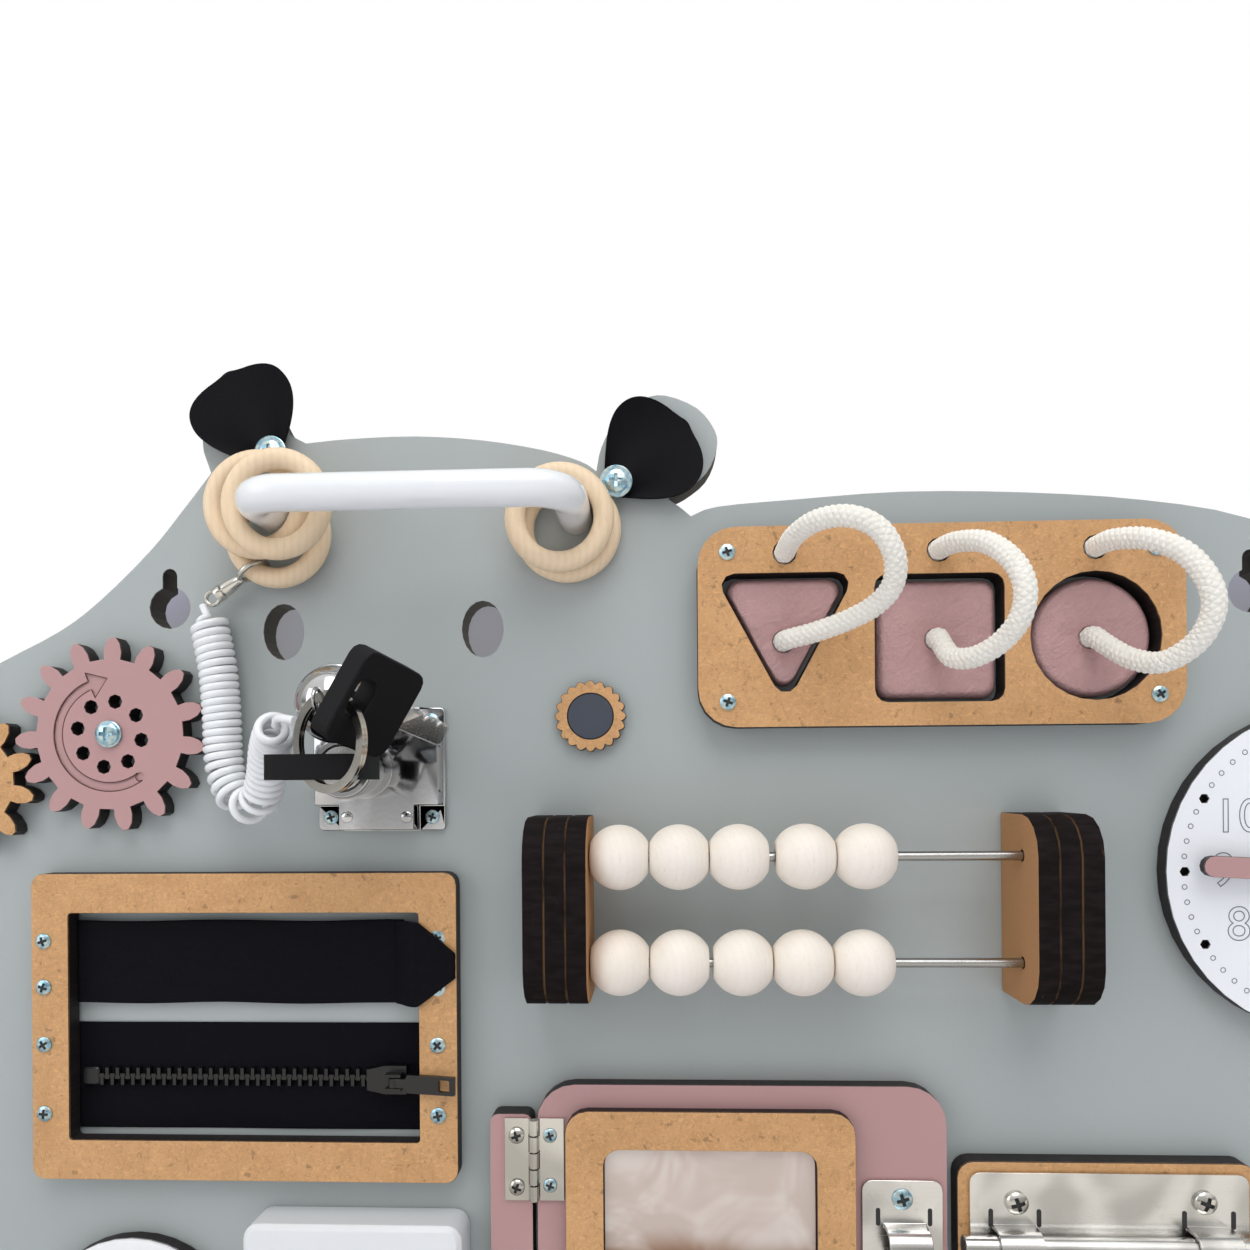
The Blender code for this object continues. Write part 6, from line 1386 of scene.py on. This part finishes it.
class MakeCounter(BoardStep):
    """The two blocks, their rods and the ten beads."""

    bl_idname = "board.counter"
    bl_label = "Bead counter"

    def build(self):
        for side in ("left", "right"):
            eased("counter_block_" + side, self.block_finish(side), 0.25, angle_deg=25.0)
        finish = turned_wood("bead_wood", colours().bead, figure=0.1)
        for row in (1, 2):
            for k in range(1, 6):
                name = f"bead_{row}_{k}"
                low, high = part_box(name)
                item = new_piece("wood_" + name, self.bead(low, high), finish, name + "_body", 45.0, name)

    def bead(self, low, high):
        """A ball cut flat at both ends round its bore: radius R cos a at height R sin a."""
        half, radius, bore = (high.x - low.x) / 2, 10.0 * MM, 2.1 * MM
        flat = math.asin(half / radius) * 0.985
        outer = radius * unit(np.linspace(-flat, flat, 26))
        shoulder = outer[0, 0] - 0.4 * MM
        profile = np.vstack([(bore, -half), (shoulder, -half), outer, (shoulder, half), (bore, half)])
        points, faces = revolved(profile, 48, closed=True)
        return points[:, [2, 0, 1]] + tuple((low + high) / 2), faces

    def block_finish(self, side):
        """Charred layers, bare fibreboard on the side that faces the rods, painted darker as shade, and steel
        rods.
        """
        low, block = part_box("counter_block_" + side)[0], 19.0 * MM
        burnt, fibre = colours().burnt, colours().fibre
        finish = Finish(f"block_{side}", burnt, 0.75)
        finish.set("Specular IOR Level", 0.12)
        x = finish.parts(finish.place())[0]
        streak = finish.noise(500.0, 3.0, place=finish.place((0.25, 1.0, 1.0)))
        wear = finish.noise(260.0, 4.0, 0.7, place=finish.place((1.0, 1.0, 0.15)))
        dark = finish.mix(streak.between(0.3, 0.8), times(burnt, 0.5), times(burnt, 1.5))
        share = (x - low.x) / (block / 3)
        seam = abs(share - 1.0).least(abs(share - 2.0))
        brown = (1 - seam.between(0.02, 0.07)) * wear.between(0.3, 0.6)
        dark = finish.mix(brown * 0.42, dark, times(fibre, 0.42))
        dark = finish.mix(wear.between(0.66, 0.8) * 0.5, dark, times(fibre, 0.3))
        flecks = finish.noise(1300.0, 4.0, 0.75, 1.2, place=finish.place((1.0, 0.5, 1.0)))
        # The bare face's fibreboard colour is dimmed to about seven tenths: painted shade on the face towards
        # the rods
        bare = finish.mix(flecks.between(0.5, 0.75) * 0.6, times(fibre, 0.72, 0.68, 0.72), times(fibre, 0.5))
        if side == "left":
            rod = x > low.x + block + 0.3 * MM
            colour = finish.mix(x > low.x + block - 0.12 * MM, dark, bare)
            colour = finish.mix(rod, colour, (0.42, 0.42, 0.42))
            finish.set("Metallic", rod)
            finish.set("Roughness", 0.72 - rod * 0.45)
        else:
            colour = finish.mix(x < low.x + 0.12 * MM, dark, bare)
        finish.set("Base Color", colour)
        finish.bump(streak + flecks * 0.5 + seam.between(0.0, 0.08) * 2.0, 0.1 * MM, 0.6)
        return finish


class MakeClock(BoardStep):
    """The white dial with outlined numbers and minute rings, and its two hands."""

    bl_idname = "board.clock"
    bl_label = "Clock"
    rise = 6.3 * MM

    def build(self):
        dial = lacquer("dial_white", tone(238, 240, 244), -(BOARD_FRONT + self.rise), roughness=0.45)
        eased("clock_face", dial, 0.2)
        for node in ("hour_hand", "minute_hand"):
            eased(node, lacquer(node + "_rose", colours().rose, front_y(node)), 0.2)
        ink = plastic("engraved_grey", tone(118, 121, 130), 0.7)
        self.numbers(ink)
        self.minutes(ink)
        head = head_shape(3.6 * MM, 1.3 * MM, 1.1 * MM)
        head = placed(head, CLOCK_AXIS[0] * MM, front_rise("clock_face") - 0.2 * MM, CLOCK_AXIS[1] * MM)
        new_piece("clock_screw", head, zinc(), "board", 30.0)

    def at(self, shape, degrees, reach, rise):
        """A shape placed on the dial, by its angle from 3 o'clock and its distance in millimetres."""
        x, z = reach * MM * unit(math.radians(degrees)) + np.array(CLOCK_AXIS) * MM
        return placed(shape, x, rise, z)

    def numbers(self, ink):
        """The hours 1 to 12 as thin engraved outlines at 33.5 mm from the middle."""
        shapes = []
        for hour in range(1, 13):
            data = bpy.data.curves.new("number", "FONT")
            data.body, data.size = str(hour), 15.0 * MM
            data.align_x, data.align_y = "CENTER", "CENTER"
            data.fill_mode, data.bevel_depth, data.bevel_resolution = "NONE", 0.17 * MM, 1
            data.resolution_u = 5
            item = bpy.data.objects.new("number", data)
            bpy.context.scene.collection.objects.link(item)
            bpy.context.view_layer.update()
            mesh = bpy.data.meshes.new_from_object(item.evaluated_get(bpy.context.evaluated_depsgraph_get()))
            points = np.zeros(len(mesh.vertices) * 3)
            mesh.vertices.foreach_get("co", points)
            faces = [list(p.vertices) for p in mesh.polygons]
            shapes.append(self.at((points.reshape(-1, 3), faces), 90.0 - 30.0 * hour, 33.5, self.rise))
            bpy.data.objects.remove(item)
            bpy.data.meshes.remove(mesh)
        new_piece("clock_numbers", together(*shapes), ink, "board", 60.0)

    def minutes(self, ink):
        """A small engraved ring at each minute that has no hole, and a dark disc in each hole: painted shade
        over the board at the hole's floor.
        """
        ring = revolved(circle(0.3 * MM, 4, 0.75 * MM), 10, closed=True)
        rings = [self.at(ring, 6.0 * minute, 45.6, self.rise) for minute in range(60) if minute % 5]
        new_piece("clock_minutes", together(*rings), ink, "board", 60.0)
        # Dark disc in each hour hole: painted shade where the board at its floor lies in shadow
        disc = turned([(0.0, 0.0), (1.55, 0.0), (1.55, 3.0), (0.0, 3.0)], 20)
        hole_shades = [self.at(disc, 30.0 * hour, 45.2, 0.6 * MM) for hour in range(12)]
        new_piece("clock_hole_shades", together(*hole_shades), plastic("hole_floor_shade", colours().burnt, 0.9), "board", 60.0)


class MakeDoor(BoardStep):
    """The door with its window, hinge, keeper and slide bolt."""

    bl_idname = "board.door"
    bl_label = "Door and bolt"

    def build(self):
        rose, face = colours().rose, -(BOARD_FRONT + 7.8 * MM)
        eased("door_strip", lacquer("strip_rose", rose, face), 0.25)
        eased("door_panel", lacquer("door_rose", rose, face, -(BOARD_FRONT + 1.8 * MM)), 0.25)
        eased("window_frame", fibreboard("window_fibre", front_y("window_frame")), 0.25)
        give(self.mirror(), "window_mirror")
        for node in ("hinge_leaf_fixed", "hinge_leaf_moving"):
            eased(node, nickel(), 0.2)
        for node in ("keeper", "latch_plate"):
            eased(node, steel())
        eased("latch_rod", steel(), 0.25, angle_deg=40.0)
        eased("latch_block", fibreboard("latch_fibre", front_y("latch_block")), 0.4)
        leaf, plate = 8.9 * MM, 9.0 * MM
        screws("hinge_screws_door", [(-48.0, -170.8), (-48.0, -186.6)], leaf, "door", 4.4, 1.0)
        screws("hinge_screws_board", [(-58.6, -170.8), (-58.6, -187.2)], leaf, "board", 5.0, 1.6, nickel())
        screws("keeper_screw", [(62.1, -189.6)], plate, "door", 6.4, 1.4)
        spots = [(97.1, -190.4), (154.0, -189.7), (97.1, -214.4), (154.0, -214.8)]
        screws("latch_screws", spots, 8.8 * MM, "board", 7.0, 2.2, nickel())
        self.slits("latch_slits", (89.3, 104.0, 148.0, 162.7), 8.8, "board")
        self.slits("keeper_slits", (54.6, 70.6), 9.0, "door")
        screws("keeper_screw_low", [(62.1, -214.6)], plate, "door", 6.4, 1.4)

    def slits(self, name, places, rise, body):
        """Dark patches for the cuts beside each pressed arch, above and below the rod: painted shade in the
        gaps.
        """
        loop = rounded_loop(1.4 * MM, 5.6 * MM, 0.7 * MM)
        slit = layered((loop, -0.1 * MM), (loop, 0.12 * MM))
        shapes = [placed(slit, x * MM, rise * MM, z * MM) for x in places for z in (-195.2, -209.6)]
        # Dark plastic in the cuts: painted shade
        new_piece(name, together(*shapes), plastic(name + "_dark", tone(46, 44, 44), 0.7), body, 30.0)

    def mirror(self):
        """A mirror sheet whose colour is a painted reflection of the room: pale above, browner below, with
        paler blotches; faint scratches.
        """
        finish = Finish("mirror_painted_reflection", tone(205, 188, 178), 0.12)
        low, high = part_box("window_mirror")
        up = (finish.parts(finish.place())[2] - low.z) / (high.z - low.z)
        # Brown below, pale above, paler blotches: a painted reflection of the room
        painted_reflection_noise = finish.noise(26.0, 3.0, 0.6, 1.5, place=finish.place((1.0, 1.0, 1.0), (0.0, 0.7, 0.0)))
        share = (up + painted_reflection_noise * 0.16 - 0.08).between(0.46, 0.62)
        base = finish.mix(share, tone(142, 102, 72), tone(200, 184, 176))
        base = finish.mix(painted_reflection_noise.between(0.45, 0.7) * share * 0.6, base, tone(232, 224, 220))
        finish.set("Base Color", base)
        finish.set("Metallic", 0.35)
        scratch = finish.noise(500.0, 3.0, 0.7, place=finish.place((1.0, 1.0, 0.08), (0.0, 0.9, 0.0)))
        finish.set("Roughness", scratch * 0.14 + 0.06)
        finish.set("Coat Weight", 0.6)
        finish.bump(painted_reflection_noise, 0.15 * MM, 0.5)
        return finish


class MakeSwitch(BoardStep):
    """The light switch and the round plate."""

    bl_idname = "board.switch"
    bl_label = "Switch and round plate"

    def build(self):
        finish = plastic("switch_plastic", tone(226, 228, 230), 0.38, 0.1)
        for node in ("switch_box", "switch_rocker"):
            eased(node, finish, 0.35, 3)
        disc = lacquer("disc_white", tone(236, 236, 238), front_y("round_disc") + 1.0 * MM)
        eased("round_disc", disc, 0.2)


STEPS = (
    MakeStage, MakeCord, MakeRopes, MakeBoard, MakeGears, MakeLock, MakeZip, MakeShapes, MakeHolder,
    MakeCounter, MakeClock, MakeDoor, MakeSwitch,
)


class BoardPanel(bpy.types.Panel):
    """Lists the board's colours and sizes, and its steps."""

    bl_idname = "VIEW3D_PT_activity_board"
    bl_label = "Wall activity board"
    bl_space_type = "VIEW_3D"
    bl_region_type = "UI"
    bl_category = "Board"

    def draw(self, context):
        for group in (context.scene.board_colours, context.scene.board_sizes):
            for name in group.bl_rna.properties.keys():
                if name not in ("rna_type", "name"):
                    self.layout.prop(group, name)
        for step in STEPS:
            self.layout.operator(step.bl_idname)


def register():
    for kind in (BoardColours, BoardSizes, *STEPS, BoardPanel):
        bpy.utils.register_class(kind)
    bpy.types.Scene.board_colours = PointerProperty(type=BoardColours)
    bpy.types.Scene.board_sizes = PointerProperty(type=BoardSizes)


def unregister():
    del bpy.types.Scene.board_sizes
    del bpy.types.Scene.board_colours
    for kind in (BoardPanel, *reversed(STEPS), BoardSizes, BoardColours):
        bpy.utils.unregister_class(kind)


def main():
    """Clears the default scene, registers the classes and runs every step in order."""
    for item in list(bpy.data.objects):
        if item.name in ("Cube", "Light", "Camera"):
            bpy.data.objects.remove(item)
    register()
    for step in STEPS:
        group, name = step.bl_idname.split(".")
        getattr(getattr(bpy.ops, group), name)()


if __name__ == "__main__":
    main()
